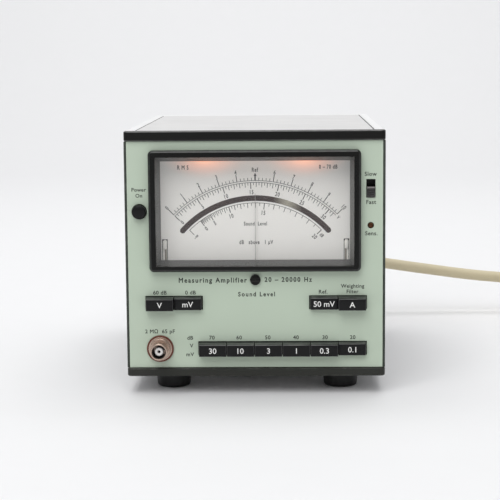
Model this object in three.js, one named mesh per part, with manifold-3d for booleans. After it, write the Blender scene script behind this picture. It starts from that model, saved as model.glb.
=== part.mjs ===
// A bench sound level meter in a small module cabinet: a needle meter over three groups of push keys, with a coaxial
// input on the front and a mains lead on the back.
//
// Millimetres. X runs to the right as seen from the front, Y towards the back and Z up. The pieces are laid out with
// Y = 0 on the front face of the panel and Z = 0 on the surface that the feet stand on. The last lines move the whole
// to its own frame, whose origin is under the middle of the instrument.
import * as THREE from "three";
import { mergeVertices } from "three/addons/utils/BufferGeometryUtils.js";
import Module from "manifold-3d";

const wasm = await Module();
wasm.setup();

// ---- Clearances ----
const SEAM = 0.15; // butt joints of the case that show as a hairline
const GAP = 0.3; // pieces screwed or pushed against each other
const RUN = 0.4; // all round a piece that moves in a guide

// ---- Case ----
const CASE = { width: 139.5, height: 132.6, depth: 200 };
const SHEET = 1.2; // covers
const PANEL = 2; // front panel
const RAIL = { width: 5.5, edge: 1 }; // corner rails, with the radius of their outer edge
const COVER_SEAM = 0.6; // the dark line between the top cover and a rail
const TRIM = { top: 5.25, bottom: 4.5, reach: 1.4, depth: 7.4, corner: 2.5 };
const REAR = { flange: 10, wall: 1.5, plate: 2 }; // the rear panel is a shallow tray
const FOOT = { height: 10, top: 19.4, bottom: 18.4, edge: 1.6, fromSide: 23.4, fromEnd: 23.6 };

// ---- Meter ----
const BEZEL = { width: 113.2, height: 65.1, reach: 5, corner: 2.5, aboveBase: 57.4 };
const LIP = { side: 3.7, bottom: 3, top: 3.7, thickness: 1.2 }; // the rim in front of the window
const REBATE = 1.5; // how far the window reaches behind the lip
const WINDOW = 1.5;
const SHROUD = { back: 8.5, wall: 1.2, side: 2.1, bottom: 2.2, top: 3.2 }; // wall, and how far each side leans in
const DIAL = { front: 12, thickness: 1, width: 108, top: 129, bottom: 60 };
const NOTCH = { width: 3, top: 83.2, bottom: 70, fromMiddle: 49.4 };
const LAMP = { diameter: 3, length: 3.8, fromMiddle: 27.2, bottom: 127.4, y: 10.2 };
const HOUSING = { wall: 1.3, width: 112.6, back: 43.5, neckWidth: 40, neckTop: 58, neckBottom: 36, headroom: 2.4 };
const PIVOT = { belowBezel: 15.1 };
const NEEDLE = { front: 10.3, thickness: 0.5, length: 56, base: 0.9, tip: 0.4, tail: 12, weight: 4, boss: 5 };
const MOVEMENT = { front: 16, depth: 14, width: 34, height: 26, bore: 19, core: 12, rib: 3 };
const COIL = { width: 16, wire: 1.3, height: 4, ends: 1.7, spindle: 1.4, spindleBack: 36 };
const ADJUSTER = { diameter: 5.7, reach: 1.6, shaft: 3, back: 7, belowBezel: 4.8, slot: 0.9, slotDepth: 0.8 };

// ---- Keys ----
const KEY = { pitch: 15, height: 7.1, reach: 6, depth: 10, travel: 3, stem: 3.2, stemBack: 24 };
const KEY_SLOT = { sideSpare: 0.5, spare: 0.3 }; // the slot in the panel round a group of caps
const BANK = { front: 8, back: 30, rise: 3, ear: 1.6 };
const GROUP = { fromLeft: 9, fromRight: 8.5, upper: 40.05, lower: 15.1 }; // slot edges, and middles above the base

// ---- Small controls ----
const COLUMN = 6.5; // from the panel's edge to the middle of a side control
const POWER = { diameter: 7.5, reach: 4, back: 6, travel: 3, stem: 4, stemBack: 20, body: 9, bodyBack: 24, up: 89.6 };
const SLIDER = { width: 4.9, slot: 9.9, knob: 5.6, reach: 1.2, back: 7, body: 9, bodyBack: 12, up: 101.5, rim: 3 };
const SENS = { hole: 3.5, screw: 2.7, front: 0.6, back: 9, body: 9, bodyBack: 12, up: 81.7, slot: 0.6 };

// ---- Sockets and the back ----
const SOCKET = { offMiddle: 1.95, flange: 14.6, lip: 1.2, hub: 11.2, hubReach: 4, barrel: 9.2, bore: 7.4, reach: 11 };
const SOCKET_BACK = { neck: 9, length: 8, floor: 2, post: 4.6, postReach: 9.5, contact: 1.7, contactDepth: 5 };
const OUTPUT = { x: -40, z: 40 };
const FUSE = { x: 6, z: 40, cap: 14, reach: 11, carrier: 6, carrierLength: 26, slot: 1.6, slotDepth: 1.5 };
const SELECTOR = { x: 0, z: 84, diameter: 20, length: 9, slot: 2, slotDepth: 2 };
const BOARD = { front: 50, back: 182, thickness: 1.6, up: 52 };
const TRANSFORMER = { y: 133, core: [50, 42, 38], bobbin: [38, 60, 26] };

// ---- Mains lead ----
const CORD = { diameter: 7.4, segments: 10 };
const GLAND = { x: 46, z: 40, flange: 16, flangeDepth: 2, base: 13, tip: 9.8, length: 24, neck: 10 };
const ROUTE = [
  [46, 224.9, 40],
  [47.1, 233.2, 39.8],
  [50.3, 240.9, 39.4],
  [55.3, 247.5, 38.8],
  [61.9, 252.6, 38],
  [69.6, 255.8, 37.2],
  [77.9, 256.8, 36.1],
  [86, 256.8, 34.9],
  [93, 256.8, 33.9],
  [101, 256.8, 32.7],
  [113, 256.8, 31],
  [126, 256.8, 29.2],
  [139, 256.8, 27.4],
  [153, 256.8, 25.8],
  [166, 256.8, 24.6],
  [179, 256.8, 22.4],
  [191, 256.8, 19.2],
  [201, 256.8, 16.2],
  [207.5, 256.8, 14.5],
];
const WOUND = { x: 238, y: 205, inner: 37, columns: 3, layers: 2, leave: -20 }; // coil centre, turns, degrees
const TAIL = [
  [29.8, 6.9],
  [34, 7.4],
  [38, 7.8],
  [42, 8.1],
  [46, 8.2],
]; // along the tangent on which the lead leaves the coil, and height
const PLUG = { sleeve: 18, sleeveThin: 10, sleeveThick: 12.5, back: 24, front: 36, body: 36, thickness: 16.4 };
const PIN = { diameter: 4.8, length: 19, apart: 19 };

// ---- Places that follow from the sizes ----
const half = CASE.width / 2;
const base = FOOT.height;
const top = base + CASE.height;
const panelHalf = half - SHEET - SEAM;
const panelBack = PANEL + GAP;
const trimBack = TRIM.depth - TRIM.reach;
const rearFront = CASE.depth - REAR.flange;
const bezel = rect(0, base + BEZEL.aboveBase + BEZEL.height / 2, BEZEL.width, BEZEL.height);
const opening = {
  left: bezel.left + LIP.side,
  right: bezel.right - LIP.side,
  bottom: bezel.bottom + LIP.bottom,
  top: bezel.top - LIP.top,
};
const pane = grow(opening, REBATE - GAP);
const well = grow(opening, REBATE); // the hole through the panel and the rebate behind the lip
const lipBack = -BEZEL.reach + LIP.thickness;
const shroudFront = lipBack + GAP + WINDOW + GAP;
const pivot = bezel.bottom - PIVOT.belowBezel;
const rightColumn = panelHalf - COLUMN;

// ---- Shapes ----
function rect(x, z, width, height) {
  return { left: x - width / 2, right: x + width / 2, bottom: z - height / 2, top: z + height / 2 };
}

function grow(r, by) {
  return { left: r.left - by, right: r.right + by, bottom: r.bottom - by, top: r.top + by };
}

function trace(path, r, radius = 0) {
  if (radius === 0) {
    path.moveTo(r.left, r.bottom).lineTo(r.right, r.bottom).lineTo(r.right, r.top).lineTo(r.left, r.top);
    path.closePath();
    return path;
  }
  const quarter = Math.PI / 2;
  path.absarc(r.right - radius, r.bottom + radius, radius, -quarter, 0);
  path.absarc(r.right - radius, r.top - radius, radius, 0, quarter);
  path.absarc(r.left + radius, r.top - radius, radius, quarter, 2 * quarter);
  path.absarc(r.left + radius, r.bottom + radius, radius, 2 * quarter, 3 * quarter);
  path.closePath();
  return path;
}

const shapeOf = (r, radius) => trace(new THREE.Shape(), r, radius);
const holeOf = (r, radius) => trace(new THREE.Path(), r, radius);
const roundHole = (x, z, diameter) => new THREE.Path().absarc(x, z, diameter / 2, 0, 2 * Math.PI);
const roundShape = (x, z, diameter) => new THREE.Shape().absarc(x, z, diameter / 2, 0, 2 * Math.PI);

// A shape drawn on the front, in X and Z, and carried back from one depth to another.
function slab(shape, front, back, holes = []) {
  shape.holes.push(...holes);
  const g = new THREE.ExtrudeGeometry(shape, { depth: back - front, bevelEnabled: false, curveSegments: 12 });
  return g.rotateX(Math.PI / 2).translate(0, back, 0);
}

// A shape drawn from above, in X and Y, and carried up from one height to another.
function layer(shape, low, high) {
  const g = new THREE.ExtrudeGeometry(shape, { depth: high - low, bevelEnabled: false, curveSegments: 12 });
  return g.translate(0, 0, low);
}

function block(x0, x1, y0, y1, z0, z1) {
  return new THREE.BoxGeometry(x1 - x0, y1 - y0, z1 - z0).translate((x0 + x1) / 2, (y0 + y1) / 2, (z0 + z1) / 2);
}

// A turned piece on the Y axis. Its profile of [radius, y] pairs is put the right way round for faces that look out.
function turned(profile, segments = 24) {
  const points = profile.map(([r, y]) => new THREE.Vector2(r, y));
  if (THREE.ShapeUtils.area(points) < 0) points.reverse();
  return new THREE.LatheGeometry(points, segments);
}

const upright = (geometry) => geometry.rotateX(Math.PI / 2);
const facingBack = (geometry) => geometry.rotateZ(Math.PI);

// A four-sided funnel core whose section goes from one rectangle in front to another behind.
function funnel(front, back, yFront, yBack) {
  const g = new THREE.BoxGeometry(2, 2, 2);
  const p = g.attributes.position;
  for (let i = 0; i < p.count; i += 1) {
    const r = p.getY(i) < 0 ? front : back;
    const x = p.getX(i) < 0 ? r.left : r.right;
    const z = p.getZ(i) < 0 ? r.bottom : r.top;
    p.setXYZ(i, x, p.getY(i) < 0 ? yFront : yBack, z);
  }
  return g;
}

// ---- Solids ----
function solid(geometry) {
  const bare = geometry.clone();
  bare.deleteAttribute("normal");
  bare.deleteAttribute("uv");
  const merged = mergeVertices(bare, 1e-4);
  const mesh = { numProp: 3, vertProperties: merged.attributes.position.array };
  return new wasm.Manifold(new wasm.Mesh({ ...mesh, triVerts: new Uint32Array(merged.index.array) }));
}

function geometryOf(body) {
  const mesh = body.getMesh();
  const geometry = new THREE.BufferGeometry();
  geometry.setAttribute("position", new THREE.BufferAttribute(mesh.vertProperties, 3));
  geometry.setIndex(new THREE.BufferAttribute(mesh.triVerts, 1));
  geometry.computeVertexNormals();
  return geometry;
}

const join = (...pieces) => geometryOf(pieces.map(solid).reduce((a, b) => a.add(b)));
const cut = (body, ...tools) => geometryOf(tools.map(solid).reduce((a, b) => a.subtract(b), solid(body)));

// ---- Materials ----
const finish = (color, roughness, metalness = 0) => new THREE.MeshStandardMaterial({ color, roughness, metalness });
const FINISH = {
  greenPaint: finish(0xb6c3b2, 0.5),
  blackPaint: finish(0x1f1e1c, 0.45),
  greyPaint: finish(0x363732, 0.5),
  darkCover: finish(0x303730, 0.6),
  aluminium: finish(0xd8d8d6, 0.35, 0.9),
  blackPlastic: finish(0x1e1e1e, 0.4),
  glossGrey: finish(0x4a4a4a, 0.15),
  glass: finish(0xeef2f2, 0.05),
  dialWhite: finish(0xdbd8d4, 0.6),
  whitePlastic: finish(0xe8e6e0, 0.4),
  rubber: finish(0x161616, 0.7),
  nickel: finish(0xc9bdb4, 0.3, 0.9),
  brass: finish(0xb08a55, 0.35, 0.9),
  steel: finish(0x8d8f90, 0.4, 0.9),
  copper: finish(0xa8663a, 0.4, 0.8),
  lampGlass: finish(0xffb98a, 0.2),
  board: finish(0x6f7a3c, 0.6),
  cordSkin: finish(0xcfc19a, 0.5),
};

const cabinet = new THREE.Group();
function add(name, geometry, material) {
  const mesh = new THREE.Mesh(geometry, material);
  mesh.name = name;
  cabinet.add(mesh);
}

// ---- Case: trim bars, corner rails, covers, panels and feet ----
function trimBar(low, high) {
  const quarter = Math.PI / 2;
  const shape = new THREE.Shape();
  shape.moveTo(half, trimBack);
  shape.lineTo(-half, trimBack);
  shape.absarc(-half + TRIM.corner, TRIM.corner - TRIM.reach, TRIM.corner, 2 * quarter, 3 * quarter);
  shape.absarc(half - TRIM.corner, TRIM.corner - TRIM.reach, TRIM.corner, 3 * quarter, 4 * quarter);
  shape.closePath();
  return layer(shape, low, high);
}
add("top_trim", trimBar(top - TRIM.top, top), FINISH.blackPaint);
add("bottom_trim", trimBar(base, base + TRIM.bottom), FINISH.greyPaint);

for (const [side, sign] of [["left", -1], ["right", 1]]) {
  for (const [level, low, high] of [["top", top - TRIM.top, top], ["bottom", base, base + TRIM.bottom]]) {
    const middle = sign * (half - RAIL.width / 2);
    const bar = shapeOf(rect(middle, (low + high) / 2, RAIL.width, high - low), RAIL.edge);
    add(`rail_${level}_${side}`, slab(bar, trimBack + SEAM, rearFront - SEAM), FINISH.aluminium);
  }
  const outer = sign * half;
  const inner = sign * (half - SHEET);
  const [low, high] = [base + TRIM.bottom + SEAM, top - TRIM.top - SEAM];
  const sheet = block(Math.min(inner, outer), Math.max(inner, outer), 0, rearFront - SEAM, low, high);
  add(`side_cover_${side}`, sheet, FINISH.darkCover);
}

const coverHalf = half - RAIL.width - COVER_SEAM;
const coverEnds = [trimBack + SEAM, rearFront - SEAM];
add("top_cover", block(-coverHalf, coverHalf, ...coverEnds, top - SHEET, top), FINISH.aluminium);
add("bottom_cover", block(-coverHalf, coverHalf, ...coverEnds, base, base + SHEET), FINISH.aluminium);

// A turned foot stands on its narrow face and stops one gap under the case.
const footProfile = [
  [0, 0],
  [FOOT.bottom / 2 - FOOT.edge, 0],
  [FOOT.bottom / 2, FOOT.edge],
  [FOOT.top / 2, FOOT.height - GAP],
  [0, FOOT.height - GAP],
];
for (const [end, y] of [["front", FOOT.fromEnd], ["rear", CASE.depth - FOOT.fromEnd]]) {
  for (const [side, sign] of [["left", -1], ["right", 1]]) {
    const foot = upright(turned(footProfile)).translate(sign * (half - FOOT.fromSide), y, 0);
    add(`foot_${end}_${side}`, foot, FINISH.rubber);
  }
}

// ---- Where the keys stand ----
const slotWidth = (count) => count * KEY.pitch + 2 * KEY_SLOT.sideSpare;
const groups = [
  { name: "left", keys: ["key_v", "key_mv"], pressed: "key_mv", side: -1, z: base + GROUP.upper },
  { name: "right", keys: ["key_ref", "key_a"], pressed: "key_ref", side: 1, z: base + GROUP.upper },
  {
    name: "range",
    keys: ["key_30", "key_10", "key_3", "key_1", "key_0_3", "key_0_1"],
    pressed: "key_0_1",
    side: 1,
    z: base + GROUP.lower,
  },
];
for (const group of groups) {
  const width = slotWidth(group.keys.length);
  const fromEdge = group.side < 0 ? GROUP.fromLeft : GROUP.fromRight;
  group.x = group.side * (panelHalf - fromEdge - width / 2);
  group.slot = rect(group.x, group.z, width, KEY.height + 2 * KEY_SLOT.spare);
}

// ---- Front panel ----
const power = { x: -rightColumn, z: base + POWER.up };
const slider = { x: rightColumn, z: base + SLIDER.up };
const sens = { x: rightColumn, z: base + SENS.up };
const adjuster = { x: 0, z: bezel.bottom - ADJUSTER.belowBezel };
// The socket sits in the space between the panel's left edge and the range keys, a little left of its middle.
const rangeSlot = groups.find((group) => group.name === "range").slot;
const socket = { x: (rangeSlot.left - panelHalf) / 2 - SOCKET.offMiddle, z: base + GROUP.lower };
const panelRect = { left: -panelHalf, right: panelHalf, bottom: base + TRIM.bottom + SEAM, top: top - TRIM.top - SEAM };
const through = (shape) => slab(shape, -1, PANEL + 1);
add(
  "front_panel",
  cut(
    slab(shapeOf(panelRect), 0, PANEL),
    through(shapeOf(well)),
    ...groups.map((group) => through(shapeOf(group.slot))),
    through(roundShape(power.x, power.z, POWER.diameter + 2 * RUN)),
    through(shapeOf(rect(slider.x, slider.z, SLIDER.width, SLIDER.slot))),
    through(roundShape(sens.x, sens.z, SENS.hole)),
    through(roundShape(adjuster.x, adjuster.z, ADJUSTER.shaft + 2 * RUN)),
    through(roundShape(socket.x, socket.z, SOCKET_BACK.neck + 2 * GAP)),
  ),
  FINISH.greenPaint,
);

// ---- Rear panel: a tray whose rim closes the back of the case ----
const caseRect = rect(0, (base + top) / 2, CASE.width, CASE.height);
add(
  "rear_panel",
  cut(
    slab(shapeOf(caseRect, RAIL.edge), rearFront, CASE.depth, [
      roundHole(GLAND.x, GLAND.z, GLAND.neck + 2 * GAP),
      roundHole(OUTPUT.x, OUTPUT.z, SOCKET_BACK.neck + 2 * GAP),
      roundHole(FUSE.x, FUSE.z, FUSE.carrier + 2 * RUN),
      roundHole(SELECTOR.x, SELECTOR.z, SELECTOR.diameter + 2 * RUN),
    ]),
    slab(shapeOf(grow(caseRect, -REAR.wall)), rearFront - 1, CASE.depth - REAR.plate),
  ),
  FINISH.greyPaint,
);

// ---- Meter: bezel, window, shroud, dial, clips, lamps and housing ----
add(
  "meter_bezel",
  join(
    slab(shapeOf(bezel, BEZEL.corner), -BEZEL.reach, lipBack, [holeOf(opening)]),
    slab(shapeOf(bezel, BEZEL.corner), lipBack, -GAP, [holeOf(well)]),
  ),
  FINISH.blackPlastic,
);
add("meter_window", slab(shapeOf(pane), lipBack + GAP, lipBack + GAP + WINDOW), FINISH.glass);

const mouth = grow(opening, GAP);
const throat = {
  left: mouth.left + SHROUD.side,
  right: mouth.right - SHROUD.side,
  bottom: mouth.bottom + SHROUD.bottom,
  top: mouth.top - SHROUD.top,
};
add(
  "meter_shroud",
  cut(
    funnel(grow(mouth, SHROUD.wall - GAP), grow(throat, SHROUD.wall), shroudFront, SHROUD.back),
    funnel(mouth, throat, shroudFront - 0.01, SHROUD.back + 0.01),
  ),
  FINISH.glossGrey,
);

const dialRect = { left: -DIAL.width / 2, right: DIAL.width / 2, bottom: DIAL.bottom, top: DIAL.top };
const notches = [-1, 1].map((sign) =>
  rect(sign * NOTCH.fromMiddle, (NOTCH.top + NOTCH.bottom) / 2, NOTCH.width, NOTCH.top - NOTCH.bottom),
);
const dialBack = DIAL.front + DIAL.thickness;
const notchTools = notches.map((n) => slab(shapeOf(n), DIAL.front - 1, dialBack + 1));
add("dial_plate", cut(slab(shapeOf(dialRect), DIAL.front, dialBack), ...notchTools), FINISH.dialWhite);
["left", "right"].forEach((side, i) => {
  const clip = slab(shapeOf(grow(notches[i], -RUN), NOTCH.width / 2 - RUN - 0.01), DIAL.front - 1, dialBack + 1);
  add(`dial_clip_${side}`, clip, FINISH.whitePlastic);
});

// Two lamps hang from a strip over the dial and shine down on it.
const stripLow = LAMP.bottom + LAMP.length;
const lampStrip = [-1, 1].map((sign) =>
  upright(turned([[0, 0], [LAMP.diameter / 2, 0], [LAMP.diameter / 2, LAMP.length + 1], [0, LAMP.length + 1]], 12))
    .translate(sign * LAMP.fromMiddle, LAMP.y, LAMP.bottom),
);
const stripHalf = LAMP.fromMiddle + LAMP.diameter;
const strip = block(-stripHalf, stripHalf, LAMP.y - LAMP.diameter, LAMP.y + LAMP.diameter / 2, stripLow, stripLow + 2);
add("lamp_strip", join(strip, ...lampStrip), FINISH.lampGlass);

const housingTop = bezel.top + HOUSING.headroom;
function housingSection(inset) {
  const side = HOUSING.width / 2 - inset;
  const neck = HOUSING.neckWidth / 2 - inset;
  const shape = new THREE.Shape();
  shape.moveTo(-neck, HOUSING.neckBottom + inset);
  shape.lineTo(neck, HOUSING.neckBottom + inset);
  shape.lineTo(neck, HOUSING.neckTop + inset);
  shape.lineTo(side, HOUSING.neckTop + inset);
  shape.lineTo(side, housingTop - inset);
  shape.lineTo(-side, housingTop - inset);
  shape.lineTo(-side, HOUSING.neckTop + inset);
  shape.lineTo(-neck, HOUSING.neckTop + inset);
  shape.closePath();
  return shape;
}
add(
  "meter_housing",
  cut(
    slab(housingSection(0), panelBack, HOUSING.back),
    slab(housingSection(HOUSING.wall), panelBack - 1, HOUSING.back - HOUSING.wall),
  ),
  FINISH.blackPlastic,
);

// ---- Meter movement: a moving coil turns round a fixed core between the poles of a magnet ----
const movementBack = MOVEMENT.front + MOVEMENT.depth;
const poleRect = rect(0, pivot, MOVEMENT.width, MOVEMENT.height);
const poles = slab(shapeOf(poleRect), MOVEMENT.front, movementBack, [roundHole(0, pivot, MOVEMENT.bore)]);
add("magnet_yoke", poles, FINISH.steel);
const ribs = rect(0, pivot, MOVEMENT.rib, MOVEMENT.bore - 4 * GAP);
add(
  "movement_core",
  join(
    slab(roundShape(0, pivot, MOVEMENT.core), MOVEMENT.front, movementBack),
    slab(shapeOf(ribs), MOVEMENT.front + 2, movementBack - 2),
  ),
  FINISH.steel,
);

const coilHalf = COIL.width / 2;
const coilFront = MOVEMENT.front - COIL.ends;
const coilBack = movementBack + COIL.ends;
const coilLow = pivot - COIL.height / 2;
const coilHigh = pivot + COIL.height / 2;
const bossBack = NEEDLE.front + NEEDLE.thickness + 0.5;
const inCoil = [-coilHalf + COIL.wire, coilHalf - COIL.wire];
const needleSide = [bossBack + GAP, coilFront + 0.5];
const backSide = [coilBack - 0.5, COIL.spindleBack];
const spindle = ([y0, y1]) => turned([[0, y0], [COIL.spindle / 2, y0], [COIL.spindle / 2, y1], [0, y1]], 12);
add(
  "moving_coil",
  join(
    cut(
      block(-coilHalf, coilHalf, coilFront, coilBack, coilLow, coilHigh),
      block(...inCoil, coilFront + 1, coilBack - 1, coilLow - 1, coilHigh + 1),
    ),
    spindle(needleSide).translate(0, 0, pivot),
    spindle(backSide).translate(0, 0, pivot),
  ),
  FINISH.copper,
);

// The needle stands straight up at mid-scale, with a counterweight on its tail.
const needleShape = new THREE.Shape();
needleShape.moveTo(-NEEDLE.base / 2, pivot - NEEDLE.tail);
needleShape.lineTo(NEEDLE.base / 2, pivot - NEEDLE.tail);
needleShape.lineTo(NEEDLE.base / 2, pivot + NEEDLE.boss);
needleShape.lineTo(NEEDLE.tip / 2, pivot + NEEDLE.length);
needleShape.lineTo(-NEEDLE.tip / 2, pivot + NEEDLE.length);
needleShape.lineTo(-NEEDLE.base / 2, pivot + NEEDLE.boss);
needleShape.closePath();
const weight = rect(0, pivot - NEEDLE.tail + NEEDLE.weight / 2, NEEDLE.weight, NEEDLE.weight);
add(
  "pointer",
  join(
    slab(needleShape, NEEDLE.front, NEEDLE.front + NEEDLE.thickness),
    slab(roundShape(0, pivot, NEEDLE.boss), NEEDLE.front - 0.5, bossBack),
    slab(shapeOf(weight), NEEDLE.front - 0.5, bossBack),
  ),
  FINISH.steel,
);

// The zero adjuster is a slotted disc whose shaft runs through the panel to the foot of the meter.
const shaftRadius = ADJUSTER.shaft / 2;
const discRadius = ADJUSTER.diameter / 2;
const disc = turned([
  [0, -ADJUSTER.reach],
  [discRadius, -ADJUSTER.reach],
  [discRadius, -GAP],
  [shaftRadius, -GAP],
  [shaftRadius, ADJUSTER.back],
  [0, ADJUSTER.back],
]);
const reach = ADJUSTER.reach;
const slotBox = (halfLength, halfWidth, front, depth) =>
  block(-halfLength, halfLength, front - 1, front + depth, -halfWidth, halfWidth);
const adjusterSlot = slotBox(discRadius + 1, ADJUSTER.slot / 2, -reach, ADJUSTER.slotDepth);
add("zero_adjuster", cut(disc, adjusterSlot).translate(adjuster.x, 0, adjuster.z), FINISH.blackPlastic);

// ---- Push keys and the switch banks that they slide in ----
function keyGeometry(x, z, pressed) {
  const push = pressed ? KEY.travel : 0;
  const cap = rect(x, z, KEY.pitch - GAP, KEY.height);
  const stem = rect(x, z, KEY.stem, KEY.stem);
  const front = push - KEY.reach;
  return join(
    slab(shapeOf(cap), front, front + KEY.depth),
    slab(shapeOf(stem), front + KEY.depth - 1, push + KEY.stemBack),
  );
}
for (const group of groups) {
  const count = group.keys.length;
  const xs = group.keys.map((_, i) => group.x + (i - (count - 1) / 2) * KEY.pitch);
  group.keys.forEach((name, i) => {
    add(name, keyGeometry(xs[i], group.z, name === group.pressed), FINISH.blackPlastic);
  });
  const bank = grow(group.slot, BANK.rise);
  const inner = { ...grow(bank, 1), left: group.slot.left - GAP, right: group.slot.right + GAP };
  const body = { ...bank, left: inner.left - BANK.ear, right: inner.right + BANK.ear };
  add(
    `key_bank_${group.name}`,
    cut(
      slab(shapeOf(body), panelBack, BANK.back),
      slab(shapeOf(inner), panelBack - 1, BANK.front),
      ...xs.map((x) => slab(shapeOf(rect(x, group.z, KEY.stem + 2 * RUN, KEY.stem + 2 * RUN)), 0, BANK.back + 1)),
    ),
    FINISH.aluminium,
  );
}

// ---- Power button and its switch ----
const buttonRadius = POWER.diameter / 2;
const button = turned([
  [0, -POWER.reach],
  [buttonRadius - 0.6, -POWER.reach],
  [buttonRadius, -POWER.reach + 0.6],
  [buttonRadius, POWER.back],
  [POWER.stem / 2, POWER.back],
  [POWER.stem / 2, POWER.stemBack],
  [0, POWER.stemBack],
]);
add("power_button", button.translate(power.x, 0, power.z), FINISH.blackPlastic);
add(
  "power_switch",
  cut(
    slab(shapeOf(rect(power.x, power.z, POWER.body, POWER.body)), panelBack, POWER.bodyBack, [
      roundHole(power.x, power.z, POWER.stem + 2 * RUN),
    ]),
    slab(roundShape(power.x, power.z, POWER.diameter + 2 * RUN), 0, POWER.back + POWER.travel + RUN),
  ),
  FINISH.steel,
);

// ---- Slide switch: its knob stands at the lower end of the slot ----
const knobLow = slider.z - SLIDER.slot / 2 + GAP;
const knobHalf = SLIDER.width / 2 - GAP;
const knob = [slider.x - knobHalf, slider.x + knobHalf, -SLIDER.reach, SLIDER.back, knobLow, knobLow + SLIDER.knob];
add("slide_knob", block(...knob), FINISH.blackPlastic);
const sliderBody = rect(slider.x, slider.z, SLIDER.body, SLIDER.slot + 2 * SLIDER.rim);
const sliderWell = rect(slider.x, slider.z, SLIDER.width, SLIDER.slot);
add(
  "slide_switch",
  cut(
    slab(shapeOf(sliderBody), panelBack, SLIDER.bodyBack),
    slab(shapeOf(sliderWell), 0, SLIDER.back + RUN),
  ),
  FINISH.blackPlastic,
);

// ---- Sensitivity trimmer and its brass screw ----
const screwRadius = SENS.screw / 2;
const screw = turned([[0, SENS.front], [screwRadius, SENS.front], [screwRadius, SENS.back], [0, SENS.back]], 16);
const screwSlot = slotBox(screwRadius + 1, SENS.slot / 2, SENS.front, SENS.slot);
add("sens_screw", cut(screw, screwSlot).translate(sens.x, 0, sens.z), FINISH.brass);
add(
  "sens_trimmer",
  cut(
    slab(shapeOf(rect(sens.x, sens.z, SENS.body, SENS.body)), panelBack, SENS.bodyBack),
    slab(roundShape(sens.x, sens.z, SENS.screw + 2 * RUN), 0, SENS.back + RUN),
  ),
  FINISH.blackPlastic,
);

// ---- Coaxial sockets: one on the front, one on the back ----
function socketBody() {
  return turned([
    [0, SOCKET_BACK.length],
    [SOCKET_BACK.neck / 2, SOCKET_BACK.length],
    [SOCKET_BACK.neck / 2, -GAP],
    [SOCKET.flange / 2, -GAP],
    [SOCKET.flange / 2, -SOCKET.lip],
    [SOCKET.hub / 2, -SOCKET.lip],
    [SOCKET.hub / 2, -SOCKET.hubReach],
    [SOCKET.barrel / 2, -SOCKET.hubReach],
    [SOCKET.barrel / 2, -SOCKET.reach],
    [SOCKET.bore / 2, -SOCKET.reach],
    [SOCKET.bore / 2, -SOCKET_BACK.floor],
    [0, -SOCKET_BACK.floor],
  ]);
}
const postFoot = -SOCKET_BACK.floor - GAP;
const contactFloor = -SOCKET_BACK.postReach + SOCKET_BACK.contactDepth;
const post = turned([
  [0, postFoot],
  [SOCKET_BACK.post / 2, postFoot],
  [SOCKET_BACK.post / 2, -SOCKET_BACK.postReach],
  [SOCKET_BACK.contact / 2, -SOCKET_BACK.postReach],
  [SOCKET_BACK.contact / 2, contactFloor],
  [0, contactFloor],
], 16);
add("input_socket", socketBody().translate(socket.x, 0, socket.z), FINISH.nickel);
add("input_insulator", post.translate(socket.x, 0, socket.z), FINISH.whitePlastic);
add("output_socket", facingBack(socketBody()).translate(OUTPUT.x, CASE.depth, OUTPUT.z), FINISH.nickel);

// ---- Fuse cap and voltage selector on the back ----
const capRadius = FUSE.cap / 2;
const fuseCap = turned([
  [0, -FUSE.carrierLength],
  [FUSE.carrier / 2, -FUSE.carrierLength],
  [FUSE.carrier / 2, GAP],
  [capRadius, GAP],
  [capRadius, FUSE.reach - 1],
  [capRadius - 1, FUSE.reach],
  [0, FUSE.reach],
]);
const fuseSlot = slotBox(capRadius - 2, FUSE.slot / 2, 0, FUSE.slotDepth);
const fuse = cut(fuseCap, facingBack(fuseSlot).translate(0, FUSE.reach, 0));
add("fuse_cap", fuse.translate(FUSE.x, CASE.depth, FUSE.z), FINISH.blackPlastic);

const drumRadius = SELECTOR.diameter / 2;
const drum = turned([[0, -SELECTOR.length], [drumRadius, -SELECTOR.length], [drumRadius, 0], [0, 0]]);
const drumSlot = slotBox(drumRadius - 2, SELECTOR.slot / 2, 0, SELECTOR.slotDepth);
const selector = cut(drum, facingBack(drumSlot));
add("voltage_selector", selector.translate(SELECTOR.x, CASE.depth, SELECTOR.z), FINISH.blackPlastic);

// ---- Circuit board and transformer ----
const boardHalf = half - SHEET - GAP;
const boardLow = base + BOARD.up;
const boardTop = boardLow + BOARD.thickness;
const parts = [];
for (const [x, y, width, length, height] of [[-40, 80, 18, 30, 12], [-5, 85, 24, 16, 9], [35, 90, 16, 40, 14]]) {
  parts.push(block(x - width / 2, x + width / 2, y - length / 2, y + length / 2, boardTop - 0.5, boardTop + height));
}
for (const x of [-45, -20, 5, 30]) {
  const can = turned([[0, -0.5], [6, -0.5], [6, 18], [0, 18]], 16);
  parts.push(upright(can).translate(x, 140, boardTop));
}
const boardBlank = block(-boardHalf, boardHalf, BOARD.front, BOARD.back, boardLow, boardTop);
add("main_board", join(boardBlank, ...parts), FINISH.board);

const floorTop = base + SHEET + GAP;
const [coreWidth, coreLength, coreHeight] = TRANSFORMER.core;
const [bobbinWidth, bobbinLength, bobbinHeight] = TRANSFORMER.bobbin;
const coreY = [TRANSFORMER.y - coreLength / 2, TRANSFORMER.y + coreLength / 2];
const bobbinY = [TRANSFORMER.y - bobbinLength / 2, TRANSFORMER.y + bobbinLength / 2];
const bobbinLow = floorTop + (coreHeight - bobbinHeight) / 2;
add(
  "transformer",
  join(
    block(-coreWidth / 2, coreWidth / 2, ...coreY, floorTop, floorTop + coreHeight),
    block(-bobbinWidth / 2, bobbinWidth / 2, ...bobbinY, bobbinLow, bobbinLow + bobbinHeight),
  ),
  FINISH.steel,
);

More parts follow.
